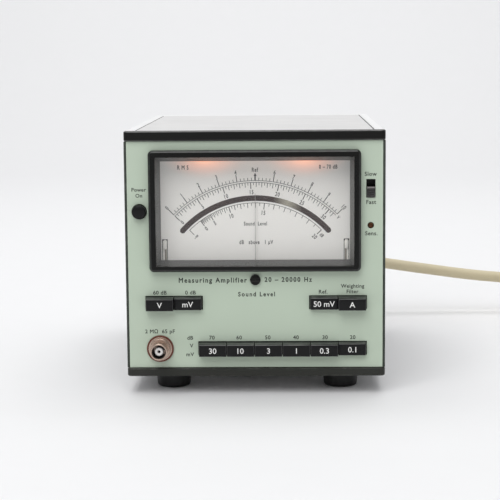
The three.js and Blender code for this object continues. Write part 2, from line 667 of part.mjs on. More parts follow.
// ---- Mains lead: strain relief, the free stretch, the coil, the tail and the plug ----
const gland = turned([
  [0, -REAR.plate - 2],
  [GLAND.neck / 2, -REAR.plate - 2],
  [GLAND.neck / 2, GAP],
  [GLAND.flange / 2, GAP],
  [GLAND.flange / 2, GLAND.flangeDepth],
  [GLAND.base / 2, GLAND.flangeDepth],
  [GLAND.tip / 2, GLAND.length],
  [0, GLAND.length],
]);
add("cord_gland", gland.translate(GLAND.x, CASE.depth, GLAND.z), FINISH.rubber);

function tube(points, steps) {
  const section = new THREE.Shape();
  for (let i = 0; i < CORD.segments; i += 1) {
    const angle = (i / CORD.segments) * 2 * Math.PI;
    const [x, y] = [(CORD.diameter / 2) * Math.cos(angle), (CORD.diameter / 2) * Math.sin(angle)];
    if (i === 0) section.moveTo(x, y);
    else section.lineTo(x, y);
  }
  section.closePath();
  const path = new THREE.CatmullRomCurve3(points.map((p) => new THREE.Vector3(...p)));
  return new THREE.ExtrudeGeometry(section, { steps, bevelEnabled: false, extrudePath: path });
}
add("cord", tube(ROUTE, 18), FINISH.cordSkin);

const coilOuter = WOUND.inner + (WOUND.columns - 1) * CORD.diameter;
const ringInner = WOUND.inner - CORD.diameter / 2 - GAP;
const ringOuter = coilOuter + CORD.diameter / 2 + GAP;
const ringHeight = WOUND.layers * CORD.diameter + GAP;
const ring = turned([[ringInner, 0], [ringOuter, 0], [ringOuter, ringHeight], [ringInner, ringHeight], [ringInner, 0]], 32);
add("cord_coil", upright(ring).translate(WOUND.x, WOUND.y, 0), FINISH.cordSkin);

// The lead leaves the coil along a tangent. Its tail and plug are laid out along +X and turned into that line.
const leave = THREE.MathUtils.degToRad(WOUND.leave);
const tailEnd = TAIL[TAIL.length - 1];
const sleeveBack = tailEnd[0] + GAP;
const bodyBack = sleeveBack + PLUG.sleeve;
const bodyFront = bodyBack + PLUG.body;
const axisZ = tailEnd[1];
function alongTangent(geometry) {
  geometry.rotateZ(leave - Math.PI / 2);
  return geometry.translate(WOUND.x + coilOuter * Math.cos(leave), WOUND.y + coilOuter * Math.sin(leave), 0);
}
add("cord_tail", alongTangent(tube(TAIL.map(([t, z]) => [t, 0, z]), 4)), FINISH.cordSkin);

const fan = new THREE.Shape();
fan.moveTo(bodyBack, -PLUG.back / 2);
fan.lineTo(bodyFront, -PLUG.front / 2);
fan.lineTo(bodyFront, PLUG.front / 2);
fan.lineTo(bodyBack, PLUG.back / 2);
fan.closePath();
const alongX = (profile, segments) => turned(profile, segments).rotateZ(-Math.PI / 2).translate(0, 0, axisZ);
const sleeve = alongX([
  [0, sleeveBack],
  [PLUG.sleeveThin / 2, sleeveBack],
  [PLUG.sleeveThick / 2, bodyBack + 1],
  [0, bodyBack + 1],
], 16);
const pins = [-1, 1].map((sign) => {
  const tip = bodyFront + PIN.length;
  const r = PIN.diameter / 2;
  const profile = [[0, bodyFront - 1], [r, bodyFront - 1], [r, tip - 1], [r - 1, tip], [0, tip]];
  return alongX(profile, 12).translate(0, (sign * PIN.apart) / 2, 0);
});
add(
  "plug",
  alongTangent(join(layer(fan, axisZ - PLUG.thickness / 2, axisZ + PLUG.thickness / 2), sleeve, ...pins)),
  FINISH.rubber,
);

// ---- The part's own frame: its origin is on the ground under the middle of the instrument without its lead ----
cabinet.position.y = -(CASE.depth + FUSE.reach - SOCKET.reach) / 2;
const soundLevelMeter = new THREE.Group();
soundLevelMeter.add(cabinet);
export default soundLevelMeter;
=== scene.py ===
import math

import bmesh
import bpy
from mathutils import Matrix, Vector


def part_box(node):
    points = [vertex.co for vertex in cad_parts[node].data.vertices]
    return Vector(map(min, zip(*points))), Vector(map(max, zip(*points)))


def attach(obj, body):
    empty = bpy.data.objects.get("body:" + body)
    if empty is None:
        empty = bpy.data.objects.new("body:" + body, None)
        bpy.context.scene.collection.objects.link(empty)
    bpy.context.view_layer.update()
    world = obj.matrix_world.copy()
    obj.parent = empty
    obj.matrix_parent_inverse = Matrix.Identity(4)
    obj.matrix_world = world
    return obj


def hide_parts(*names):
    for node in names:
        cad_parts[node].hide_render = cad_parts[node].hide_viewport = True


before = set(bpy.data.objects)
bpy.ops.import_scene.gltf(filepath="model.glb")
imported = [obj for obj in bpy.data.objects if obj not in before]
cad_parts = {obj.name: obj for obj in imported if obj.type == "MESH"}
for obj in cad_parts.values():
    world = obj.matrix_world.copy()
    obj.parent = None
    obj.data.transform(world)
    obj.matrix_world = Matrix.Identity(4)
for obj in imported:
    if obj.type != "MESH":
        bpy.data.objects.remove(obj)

for spare in ("Cube", "Light", "Camera"):
    if spare in bpy.data.objects:
        bpy.data.objects.remove(bpy.data.objects[spare])
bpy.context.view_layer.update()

# ----------------------------------------
# Camera. It stands in front of the instrument, a little to the right and above it, and looks slightly down at the
# panel. Pieces are laid out in millimetres with Y = 0 on the face of the front panel, and PLACE puts them in the frame.
MM = 0.001
PANEL_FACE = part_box("front_panel")[0].y
PLACE = Matrix.Translation((0, PANEL_FACE, 0)) @ Matrix.Diagonal((MM, MM, MM, 1))


def spread(node):
    """The lowest and highest corners of a CAD piece, in millimetres from the panel's face."""
    back = PLACE.inverted()
    return tuple(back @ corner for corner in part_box(node))


heading, dip, tilt = math.radians(1.571), math.radians(7.53), math.radians(-0.47)
ahead = Vector((-math.sin(heading) * math.cos(dip), math.cos(heading) * math.cos(dip), -math.sin(dip)))
level = Vector((math.cos(heading), math.sin(heading), 0))
upward = level.cross(ahead)
right = math.cos(tilt) * level + math.sin(tilt) * upward
up = -math.sin(tilt) * level + math.cos(tilt) * upward
camera_data = bpy.data.cameras.new("bench_view")
camera_data.sensor_width = 36
camera_data.lens = 108.31
camera_data.clip_start = 0.01
camera = bpy.data.objects.new("bench_view", camera_data)
turn = Matrix((right, up, -ahead)).transposed().to_4x4()
camera.matrix_world = Matrix.Translation(PLACE @ Vector((19.19, -799.5, 184.4))) @ turn
bpy.context.collection.objects.link(camera)
bpy.context.scene.camera = camera

# ----------------------------------------
# Mains lead. A two-core lead in a smooth beige PVC sheath leaves the back, hangs past the right side of the case and
# lies beside it in a coil of two layers. The sheath is extruded, so its colour only clouds a little along it.
def paint(r, g, b):
    """A colour as a paint maker gives it, 0 to 255, in the light's own scale."""
    def light(v):
        v /= 255
        return v / 12.92 if v <= 0.04045 else ((v + 0.055) / 1.055) ** 2.4
    return (light(r), light(g), light(b), 1)


def wire(tree, node, inputs):
    """Sets a node's inputs to values, or links them to sockets."""
    for socket, value in inputs.items():
        if isinstance(value, bpy.types.NodeSocket):
            tree.links.new(value, node.inputs[socket])
        else:
            node.inputs[socket].default_value = value
    return node


def added(tree, kind, inputs=None, **attributes):
    """A new node with its attributes and inputs set."""
    node = tree.nodes.new(kind)
    for name, value in attributes.items():
        setattr(node, name, value)
    return wire(tree, node, inputs or {})


def number(tree, operation, first, second):
    """The result of a math node on two numbers or sockets."""
    return added(tree, "ShaderNodeMath", {0: first, 1: second}, operation=operation).outputs[0]


def blended(tree, amount, first, second):
    """A mix of two colours or sockets."""
    return added(tree, "ShaderNodeMix", {"Factor": amount, 6: first, 7: second}, data_type="RGBA").outputs[2]


def shader_group(name, numbers, outputs):
    """An empty node group, what its inputs give and what its outputs take."""
    tree = bpy.data.node_groups.new(name, "ShaderNodeTree")
    for label, value in numbers.items():
        tree.interface.new_socket(label, in_out="INPUT", socket_type="NodeSocketFloat").default_value = value
    for label in outputs:
        tree.interface.new_socket(label, in_out="OUTPUT", socket_type="NodeSocketFloat")
    return tree, tree.nodes.new("NodeGroupInput").outputs, tree.nodes.new("NodeGroupOutput")


# Fine grain: a cloud of specks in real millimetres, stretched along an axis for brushed metal.
grain_tree, given, grain_out = shader_group(
    "surface_grain", {"Size mm": 1, "Stretch X": 1, "Stretch Y": 1, "Stretch Z": 1}, ["Grain", "Cloud"])
where = added(grain_tree, "ShaderNodeTexCoord").outputs["Object"]
axes = added(grain_tree, "ShaderNodeCombineXYZ", {axis: given[f"Stretch {axis}"] for axis in "XYZ"})
drawn = added(grain_tree, "ShaderNodeVectorMath", {0: where, 1: axes.outputs[0]}, operation="DIVIDE")
per_metre = number(grain_tree, "DIVIDE", 1000, given["Size mm"])
fine = added(grain_tree, "ShaderNodeTexNoise", {"Detail": 3, "Scale": per_metre, "Vector": drawn.outputs[0]})
coarse = added(grain_tree, "ShaderNodeTexNoise", {"Detail": 2, "Scale": 45, "Vector": where})
wire(grain_tree, grain_out, {"Grain": fine.outputs["Fac"], "Cloud": coarse.outputs["Fac"]})

# Rubbed edges: the eased edges of a piece carry an attribute, and wear shows there in patches.
wear_tree, given, wear_out = shader_group("rubbed_edges", {"Amount": 0.5}, ["Wear"])
edge_mark = added(wear_tree, "ShaderNodeAttribute", attribute_name="eased_edge")
where = added(wear_tree, "ShaderNodeTexCoord").outputs["Object"]
patches = added(wear_tree, "ShaderNodeTexNoise", {"Scale": 260, "Detail": 4, "Vector": where})
rubbed_off = added(wear_tree, "ShaderNodeMapRange",
                   {"From Min": 0.48, "From Max": 0.66, "Value": patches.outputs["Fac"]})
on_edge = number(wear_tree, "MULTIPLY", rubbed_off.outputs["Result"], edge_mark.outputs["Fac"])
wire(wear_tree, wear_out, {"Wear": number(wear_tree, "MULTIPLY", on_edge, given["Amount"])})


def finish(name, colour, roughness, metallic=0.0, shade=0.06, grain_mm=0.6, stretch=(1, 1, 1), relief=0.01,
           spread_roughness=0.08, worn=None, wear=0.0, sheen=0.5, edge_shine=0.0):
    """A painted, moulded or metal finish with grain in its colour, gloss and relief, and worn edges."""
    material = bpy.data.materials.new(name)
    material.use_nodes = True
    tree = material.node_tree
    sizes = {"Size mm": grain_mm, **{f"Stretch {axis}": by for axis, by in zip("XYZ", stretch)}}
    grain = added(tree, "ShaderNodeGroup", sizes, node_tree=grain_tree)
    specks = grain.outputs["Grain"]
    darker = tuple(c * (1 - shade) for c in colour[:3]) + (1,)
    lighter = tuple(min(1, c * (1 + shade)) for c in colour[:3]) + (1,)
    cloud = added(tree, "ShaderNodeMapRange",
                  {"From Min": 0.35, "From Max": 0.75, "To Max": 0.6, "Value": grain.outputs["Cloud"]})
    tone = blended(tree, cloud.outputs["Result"], blended(tree, specks, darker, lighter), darker)
    if worn:
        edges = added(tree, "ShaderNodeGroup", {"Amount": wear}, node_tree=wear_tree)
        tone = blended(tree, edges.outputs["Wear"], tone, worn)
    gloss = added(tree, "ShaderNodeMapRange", {
        "From Min": 0.3, "From Max": 0.7, "To Min": max(0.02, roughness - spread_roughness),
        "To Max": min(1, roughness + spread_roughness), "Value": specks})
    bump = added(tree, "ShaderNodeBump", {"Strength": 0.6, "Distance": relief * MM, "Height": specks})
    shader = wire(tree, tree.nodes["Principled BSDF"], {
        "Metallic": metallic, "Specular IOR Level": sheen, "Base Color": tone, "Roughness": gloss.outputs["Result"],
        "Normal": bump.outputs["Normal"]})
    if edge_shine:
        polished = added(tree, "ShaderNodeAttribute", attribute_name="eased_edge")
        coat = number(tree, "MULTIPLY", polished.outputs["Fac"], edge_shine)
        wire(tree, shader, {"Coat Weight": coat, "Coat Roughness": 0.28, "Coat IOR": 1.7})
    return material


def piece(name, mesh, material, body="case"):
    """Puts a finished mesh in the scene and fixes it to its body."""
    obj = bpy.data.objects.new(name, mesh)
    bpy.context.collection.objects.link(obj)
    mesh.materials.clear()
    mesh.materials.append(material)
    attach(obj, body)
    return obj


sheath = finish("beige_sheath", paint(203, 191, 160), 0.42, shade=0.04, grain_mm=3, relief=0.004)

LEAD = 7.4
lead_route = [
    (46, 221, 40), (46, 224.9, 40), (47.1, 233.2, 39.8), (50.3, 240.9, 39.4), (55.3, 247.5, 38.8),
    (61.9, 252.6, 38), (69.6, 255.8, 37.2), (77.9, 256.8, 36.1), (86, 256.8, 34.9), (93, 256.8, 33.9),
    (101, 256.8, 32.7), (113, 256.8, 31), (126, 256.8, 29.2), (139, 256.8, 27.4), (153, 256.8, 25.8),
    (166, 256.8, 24.6), (179, 256.8, 22.4), (191, 256.8, 19.2), (201, 256.8, 16.2), (211, 256.8, 13.6),
    (221, 256.8, 11.8), (230, 256.8, 11.2), (238, 256.8, 11.1),
]
COIL_X, COIL_Y = 238, 205
WIDEST, UPPER_LAYER = 51.8, 11.1
STEP_OVER = 130  # the degrees of a turn in which the lead steps over to the next one


def eased_step(t):
    t = min(1, max(0, t))
    return t * t * (3 - 2 * t)


def coil_point(wound):
    """The lead's middle after it has wound so many degrees round the coil, clockwise from its rearmost point."""
    def stepped(start):
        return eased_step((wound - start) / STEP_OVER)
    radius = WIDEST - LEAD * (stepped(350) + stepped(710) - stepped(1190) - stepped(1550))
    height = UPPER_LAYER - LEAD * stepped(960)
    angle = math.radians(90 - wound)
    return Vector((COIL_X + radius * math.cos(angle), COIL_Y + radius * math.sin(angle), height))


def smooth_path(points, parts):
    """Points closely spaced on a smooth line through the given ones."""
    ends = [points[0] * 2 - points[1], *points, points[-1] * 2 - points[-2]]
    line = []
    for a, b, c, d in zip(ends, ends[1:], ends[2:], ends[3:]):
        for i in range(parts):
            t = i / parts
            bend = 2 * b + (c - a) * t + (2 * a - 5 * b + 4 * c - d) * t * t + (3 * b - a - 3 * c + d) * t ** 3
            line.append(bend / 2)
    return line + [points[-1]]


LEAVES = 5 * 360 + 110
way_out = math.radians(90 - LEAVES)
tangent = Vector((math.sin(way_out), -math.cos(way_out), 0))
edge = coil_point(LEAVES)
TAIL_RISE, TAIL_RUN = 4.5, 46
lead_points = smooth_path([Vector(p) for p in lead_route], 4)[:-1]
lead_points += [coil_point(d) for d in range(0, LEAVES + 1, 5)]
for t in range(4, 53, 4):
    lead_points.append(edge + tangent * t + Vector((0, 0, TAIL_RISE * eased_step(t / TAIL_RUN))))
lead_curve = bpy.data.curves.new("mains_lead", "CURVE")
lead_curve.dimensions = "3D"
lead_curve.bevel_depth = LEAD / 2 * MM
lead_curve.bevel_resolution = 6
lead_curve.use_fill_caps = True
spline = lead_curve.splines.new("POLY")
spline.points.add(len(lead_points) - 1)
for knot, point in zip(spline.points, lead_points):
    knot.co = (*(PLACE @ point), 1)
spline.use_smooth = True
lead_curve.materials.append(sheath)
lead = bpy.data.objects.new("mains_lead", lead_curve)
bpy.context.collection.objects.link(lead)
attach(lead, "case")
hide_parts("cord", "cord_coil", "cord_tail")

# ----------------------------------------
# Strain relief. A ribbed rubber sleeve is pushed through the rear panel and tapers over the lead, so that the lead
# can't kink where it leaves the case.
def placed_mesh(name, work):
    """The mesh of finished work, moved from the panel's millimetres to the frame."""
    mesh = bpy.data.meshes.new(name)
    work.to_mesh(mesh)
    work.free()
    mesh.transform(PLACE)
    return mesh


def filled(name, work):
    """Closes off a mesh in work: doubles merged, faces turned outwards, and put in the frame."""
    bmesh.ops.remove_doubles(work, verts=work.verts, dist=1e-5)
    bmesh.ops.recalc_face_normals(work, faces=work.faces)
    return placed_mesh(name, work)


def turning(profile, segments=64, work=None, at=(0, 0, 0), along="Y"):
    """Adds a turned solid to a mesh in work. The profile's pairs are radius and place along the axis."""
    work = work or bmesh.new()
    rings = []
    for radius, place in profile:
        ring = []
        for i in range(segments if radius > 0 else 1):
            angle = 2 * math.pi * i / segments
            a, b = radius * math.cos(angle), radius * math.sin(angle)
            spot = {"Y": (a, place, b), "Z": (a, b, place), "X": (place, a, b)}[along]
            ring.append(work.verts.new(Vector(spot) + Vector(at)))
        rings.append(ring)
    for low, high in zip(rings, rings[1:]):
        for i in range(segments):
            j = (i + 1) % segments
            corners = [low[i % len(low)], low[j % len(low)], high[j % len(high)], high[i % len(high)]]
            corners = list(dict.fromkeys(corners))
            if len(corners) > 2:
                work.faces.new(corners).smooth = True
    return work


def soften(mesh, degrees):
    """Shades a mesh smooth, apart from edges sharper than the angle."""
    mesh.polygons.foreach_set("use_smooth", [True] * len(mesh.polygons))
    mesh.set_sharp_from_angle(angle=math.radians(degrees))
    return mesh


def solid(name, work, material, body="case", crease=None, stands_for=None):
    """Closes a mesh in work, smooths it up to an angle and fixes it to its body, perhaps for a CAD piece."""
    mesh = filled(name, work)
    if crease:
        soften(mesh, crease)
    obj = piece(name, mesh, material, body)
    if stands_for:
        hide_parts(stands_for)
    return obj


rubber = finish("moulded_rubber", paint(20, 20, 20), 0.5, shade=0.2, grain_mm=0.4, relief=0.02,
                worn=paint(60, 60, 60), wear=0.4, sheen=0.4)
back_face = spread("rear_panel")[1].y
sleeve_profile = [(0, back_face - 4), (5, back_face - 4), (5, back_face + 0.3), (7.4, back_face + 0.3),
                  (8, back_face + 0.9), (8, back_face + 1.6), (7.6, back_face + 2), (6.5, back_face + 2.1)]
for rib in range(6):
    start = back_face + 3 + rib * 3.2
    thick = 6.5 - 1.6 * (start - back_face) / 24
    sleeve_profile += [(thick, start), (thick - 0.9, start + 0.3), (thick - 0.9, start + 1.1), (thick, start + 1.4)]
sleeve_profile += [(4.9, back_face + 23.2), (4.6, back_face + 24), (0, back_face + 24)]
strain_relief = solid("strain_relief", turning(sleeve_profile, at=(46, 0, 40)), rubber, crease=35,
                      stands_for="cord_gland")

# ----------------------------------------
# Plug. The body is moulded on the lead in the same beige PVC, fanned out to a flat two-pin end with finger grooves,
# and its two round pins are plated brass.
def loft(sections, segments):
    """A closed skin over rounded sections. Each is place, half width, half thickness and squareness."""
    work = bmesh.new()
    rings = []
    for place, wide, thick, square in sections:
        ring = []
        for i in range(segments):
            angle = 2 * math.pi * i / segments
            c, s = math.cos(angle), math.sin(angle)
            a = math.copysign(abs(c) ** (2 / square), c) * wide
            b = math.copysign(abs(s) ** (2 / square), s) * thick
            ring.append(work.verts.new((place, a, b)))
        rings.append(ring)
    for low, high in zip(rings, rings[1:]):
        for i in range(segments):
            j = (i + 1) % segments
            work.faces.new((low[i], low[j], high[j], high[i]))
    work.faces.new(rings[0][::-1])
    work.faces.new(rings[-1])
    return work


plug_sections = []
for rib in range(5):
    start = 46.3 + rib * 3.4
    size = 4.9 + 0.3 * rib
    plug_sections += [(start, size, size, 2), (start + 1.9, size + 0.15, size + 0.15, 2),
                      (start + 2.2, size - 0.5, size - 0.5, 2), (start + 3.1, size - 0.4, size - 0.4, 2)]
plug_sections += [(63.6, 6.6, 6.4, 2.1), (64.6, 10.8, 6.9, 2.8), (66.5, 12.2, 7.8, 3.6), (70, 13, 8.1, 4)]
for groove in range(4):
    start = 72 + groove * 4.2
    wide = 12 + 6 * (start - 64.3) / 36
    plug_sections += [(start, wide, 8.1, 4), (start + 0.8, wide - 0.5, 8.1, 4), (start + 2, wide - 0.4, 8.1, 4),
                      (start + 2.8, wide + 0.5, 8.1, 4)]
plug_sections += [(92, 16.6, 8.1, 4.4), (98, 17.6, 8.1, 5), (99.7, 17.6, 7.9, 5), (100.3, 16.9, 7.3, 5)]
toward = Matrix.Translation((edge.x, edge.y, 8.2)) @ Matrix.Rotation(math.atan2(tangent.y, tangent.x), 4, "Z")
plug_work = loft(plug_sections, 48)
plug_work.transform(toward)
plug_skin = finish("moulded_plug", paint(196, 184, 154), 0.38, shade=0.05, grain_mm=2, relief=0.01,
                   worn=paint(170, 158, 130), wear=0.3)
plug_body = solid("plug_body", plug_work, plug_skin, crease=40, stands_for="plug")

nickel = finish("nickel_plate", paint(196, 190, 182), 0.24, metallic=1.0, shade=0.1, grain_mm=0.3, relief=0.002,
                worn=paint(168, 130, 96), wear=0.7)
pin_work = bmesh.new()
for side in (-9.5, 9.5):
    turning([(0, 99), (2.4, 99), (2.4, 117), (2.2, 118.3), (1.5, 119), (0.7, 119.3), (0, 119.3)], 32, pin_work,
            at=(0, side, 0), along="X")
pin_work.transform(toward)
plug_pins = solid("plug_pins", pin_work, nickel, crease=35)

# A strap of woven tape holds the coil's turns together.
strap_tape = finish("black_tape", paint(34, 34, 36), 0.8, shade=0.25, grain_mm=0.5, stretch=(1, 3, 1), relief=0.05)
strap_work = bmesh.new()
outline = [(32.4, 0.4), (33, 0), (56, 0), (56.6, 0.4), (56.6, 14.6), (55.6, 15.4), (33.4, 15.4), (32.4, 14.6)]
inside = [(33, 0.5), (33.4, 0.4), (55.6, 0.4), (56, 0.5), (56, 14.4), (55.4, 14.9), (33.6, 14.9), (33, 14.4)]
rings = []
for spot in (-4, 4):
    rings.append([[strap_work.verts.new((r, spot, z)) for r, z in path] for path in (outline, inside)])
for i in range(8):
    j = (i + 1) % 8
    (front_out, front_in), (rear_out, rear_in) = rings
    strap_work.faces.new((front_out[i], front_out[j], rear_out[j], rear_out[i]))
    strap_work.faces.new((front_in[j], front_in[i], rear_in[i], rear_in[j]))
    strap_work.faces.new((front_out[j], front_out[i], front_in[i], front_in[j]))
    strap_work.faces.new((rear_out[i], rear_out[j], rear_in[j], rear_in[i]))
strap_work.transform(Matrix.Translation((COIL_X, COIL_Y, 0)) @ Matrix.Rotation(math.radians(200), 4, "Z"))
coil_strap = solid("coil_strap", strap_work, strap_tape, crease=30)

# ----------------------------------------
# Studio. The instrument stands on a pale sweep of paper that curves up behind it. The main softbox hangs above and in
# front, a weaker one hangs straight above, and one lights the paper behind.
sweep_work = bmesh.new()
sweep_path = [(-2.6, 0), (1.3, 0)] + [
    (1.3 + 0.9 * math.sin(math.radians(a)), 0.9 - 0.9 * math.cos(math.radians(a))) for a in range(6, 91, 6)
] + [(2.2, 3.2)]
columns = [[sweep_work.verts.new((x, y, z)) for y, z in sweep_path] for x in (-3, 3)]
for i in range(len(sweep_path) - 1):
    sweep_work.faces.new((columns[0][i], columns[1][i], columns[1][i + 1], columns[0][i + 1])).smooth = True
sweep_mesh = bpy.data.meshes.new("paper_sweep")
sweep_work.to_mesh(sweep_mesh)
sweep_work.free()
paper = finish("pale_paper", paint(236, 236, 237), 0.85, shade=0.01, grain_mm=2, relief=0.01)
sweep_mesh.materials.append(paper)
sweep = bpy.data.objects.new("paper_sweep", sweep_mesh)
bpy.context.collection.objects.link(sweep)

studio = bpy.data.worlds.new("studio")
studio.use_nodes = True
wire(studio.node_tree, studio.node_tree.nodes["Background"], {"Color": (0.98, 0.99, 1, 1), "Strength": 0.34})
bpy.context.scene.world = studio
bpy.context.scene.view_settings.view_transform = "Standard"


def soft_light(name, size, power, place, target):
    """A square softbox that faces its target."""
    data = bpy.data.lights.new(name, "AREA")
    data.shape = "SQUARE"
    data.size = size
    data.energy = power
    obj = bpy.data.objects.new(name, data)
    bpy.context.collection.objects.link(obj)
    aim = (Vector(target) - Vector(place)).to_track_quat("-Z", "Y").to_matrix().to_4x4()
    obj.matrix_world = Matrix.Translation(place) @ aim


soft_light("key_box", 1.5, 21, (-0.25, -1.25, 1.5), (0, 0, 0.05))
soft_light("overhead_box", 1.6, 6.5, (0, 0, 1.7), (0, 0, 0.05))
soft_light("backdrop_box", 1.8, 20, (0, 0.9, 2), (0, 2, 0.4))

# ----------------------------------------
# Case. Aluminium rails join a cast front frame to the rear panel. The top and bottom covers are brushed aluminium
# sheet held between the rails, the side covers are dark painted sheet, and the front trim bars close the edges.
def eased(name, node, radius, material, body="case", steps=3, over=30, broad=0, on_broad=None):
    """A copy of a CAD piece with its sharp edges eased as real making leaves them. It stands for that piece."""
    work = bmesh.new()
    work.from_mesh(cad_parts[node].data)
    work.transform(PLACE.inverted())
    bmesh.ops.remove_doubles(work, verts=work.verts, dist=1e-3)
    bmesh.ops.dissolve_limit(work, angle_limit=math.radians(2), verts=work.verts, edges=work.edges)
    mark = work.faces.layers.float.new("eased_edge")
    for face in work.faces:
        face.smooth = False
    sharp = [e for e in work.edges if len(e.link_faces) == 2 and e.calc_face_angle(0) > math.radians(over)]
    wide = [e for e in sharp if broad and all(on_broad(v.co) for v in e.verts)]
    for edges, offset in ((wide, broad), ([e for e in sharp if e not in wide], radius)):
        edges = edges if edges is wide else [e for e in edges if e.is_valid]
        if not edges:
            continue
        made = bmesh.ops.bevel(work, geom=edges, offset=offset, offset_type="OFFSET", segments=steps, profile=0.5,
                               affect="EDGES", clamp_overlap=edges is not wide)
        for face in made["faces"]:
            face[mark] = 1
            face.smooth = True
    obj = piece(name, placed_mesh(name, work), material, body)
    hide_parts(node)
    return obj


black_enamel = finish("black_enamel", paint(18, 18, 17), 0.4, shade=0.12, grain_mm=0.5, relief=0.02,
                      worn=paint(90, 90, 86), wear=0.35, sheen=0.2, edge_shine=1)
grey_enamel = finish("grey_enamel", paint(46, 47, 43), 0.45, shade=0.1, grain_mm=0.5, relief=0.02,
                     worn=paint(110, 110, 104), wear=0.25, sheen=0.25)
side_enamel = finish("dark_side_enamel", paint(48, 55, 48), 0.55, shade=0.12, grain_mm=0.8, relief=0.05,
                     worn=paint(130, 130, 126), wear=0.4)
brushed = finish("brushed_aluminium", paint(218, 217, 216), 0.42, metallic=0.55, shade=0.12, grain_mm=0.3,
                 stretch=(60, 1, 1), relief=0.006, worn=paint(245, 245, 245), wear=0.3)
rail_metal = finish("rail_aluminium", paint(238, 238, 238), 0.4, metallic=0.5, shade=0.04, grain_mm=0.25,
                    stretch=(1, 60, 1), relief=0.006, worn=paint(250, 250, 250), wear=0.3)
eased("top_trim_bar", "top_trim", 0.55, black_enamel, steps=4)
eased("bottom_trim_bar", "bottom_trim", 0.7, grey_enamel, steps=4)
for level_name in ("top", "bottom"):
    for side_name in ("left", "right"):
        node = f"rail_{level_name}_{side_name}"
        eased(f"corner_{node}", node, 0.15, rail_metal, steps=2)
eased("top_sheet", "top_cover", 0.2, brushed, steps=2)
eased("bottom_sheet", "bottom_cover", 0.2, brushed, steps=2)
for side_name in ("left", "right"):
    eased(f"side_sheet_{side_name}", f"side_cover_{side_name}", 0.3, side_enamel, steps=2)
eased("rear_tray", "rear_panel", 0.4, rail_metal, steps=3)
# A dark strip laid in the gap between each edge of the top cover and its rail is painted shadow; it shows as a dark
# hairline.
seam_shadow = finish("painted_seam_shadow", paint(38, 36, 35), 0.9, shade=0.2, grain_mm=0.5, relief=0.05)
cover_low, cover_high = spread("top_cover")
rail_inner = spread("rail_top_right")[0].x
for side_name, side in (("left", -1), ("right", 1)):
    strip_work = bmesh.new()
    bmesh.ops.create_cube(strip_work, size=1)
    strip_work.transform(Matrix.Translation((side * (cover_high.x + rail_inner) / 2, (cover_low.y + cover_high.y) / 2,
                                             cover_high.z - 0.5))
                         @ Matrix.Diagonal((rail_inner - cover_high.x - 0.02, cover_high.y - cover_low.y, 0.8, 1)))
    solid(f"seam_strip_{side_name}", strip_work, seam_shadow)

# ----------------------------------------
# Feet. Four turned rubber feet with a rounded lower edge are screwed under the corners.
for end_name in ("front", "rear"):
    for side_name in ("left", "right"):
        node = f"foot_{end_name}_{side_name}"
        low, high = spread(node)
        middle = (low + high) / 2
        foot = (high.x - low.x) / 2
        foot_profile = [(0, 1.2), (2.6, 1.2), (3, 0.3), (3.6, 0), (foot - 2.2, 0), (foot - 1.3, 0.25),
                        (foot - 0.7, 0.8), (foot - 0.45, 1.8), (foot - 0.05, high.z - 1),
                        (foot - 0.05, high.z - 0.5), (foot - 0.3, high.z), (0, high.z)]
        solid(f"rubber_{node}", turning(foot_profile, 72, at=(middle.x, middle.y, 0), along="Z"), rubber,
              crease=50, stands_for=node)

# ----------------------------------------
# Front panel. A 2 mm sheet, stoved in pale green and screen-printed. Its openings are punched, so their edges are
# only just broken.
green_enamel = finish("green_enamel", paint(189, 203, 185), 0.5, shade=0.02, grain_mm=0.5, relief=0.012,
                      worn=paint(205, 214, 200), wear=0.5)
eased("green_panel", "front_panel", 0.18, green_enamel, steps=2)


def text_mesh(words, spacing=1.0, bold=0.0, raised=0.05):
    """Flat letters one unit high, lying in X and Y from a base line at zero. Bold spreads their edges."""
    curve = bpy.data.curves.new("letters", "FONT")
    curve.body = words
    curve.size = 1
    curve.space_character = spacing
    curve.extrude = 0.01
    curve.bevel_depth = bold
    curve.bevel_resolution = 0
    curve.resolution_u = 3
    holder = bpy.data.objects.new("letters", curve)
    bpy.context.collection.objects.link(holder)
    bpy.context.view_layer.update()
    mesh = bpy.data.meshes.new_from_object(holder.evaluated_get(bpy.context.evaluated_depsgraph_get()))
    bpy.data.objects.remove(holder)
    bpy.data.curves.remove(curve)
    mesh.transform(Matrix.Diagonal((1, 1, raised / (0.02 + 2 * bold), 1)))
    return mesh


ruler = text_mesh("H")
CAPITAL = max(v.co.y for v in ruler.vertices)
bpy.data.meshes.remove(ruler)


def printed(name, lines, face, material, body="case", bold=0.0, narrow=1.0, spacing=1.0, layer=0.04, work=None,
            heading=0):
    """Printed words on an upright face. Each line is words, x and z of its middle, capital height and turn."""
    work = work or bmesh.new()
    for words, x, z, high, turned_by in lines:
        size = high / CAPITAL
        mesh = text_mesh(words, spacing, bold, layer / size)
        xs = [v.co.x for v in mesh.vertices]
        centre = Matrix.Translation((-(min(xs) + max(xs)) / 2, -CAPITAL / 2, 0))
        spot = Matrix.Translation((x, face, z)) @ Matrix.Rotation(math.radians(heading), 4, "Z")
        lean = Matrix.Translation((0, -layer / 2, 0)) @ Matrix.Rotation(math.radians(turned_by), 4, "Y")
        stand = Matrix.Rotation(math.radians(90), 4, "X") @ Matrix.Diagonal((size * narrow, size, size, 1))
        mesh.transform(spot @ lean @ stand @ centre)
        work.from_mesh(mesh)
        bpy.data.meshes.remove(mesh)
    return piece(name, placed_mesh(name, work), material, body)


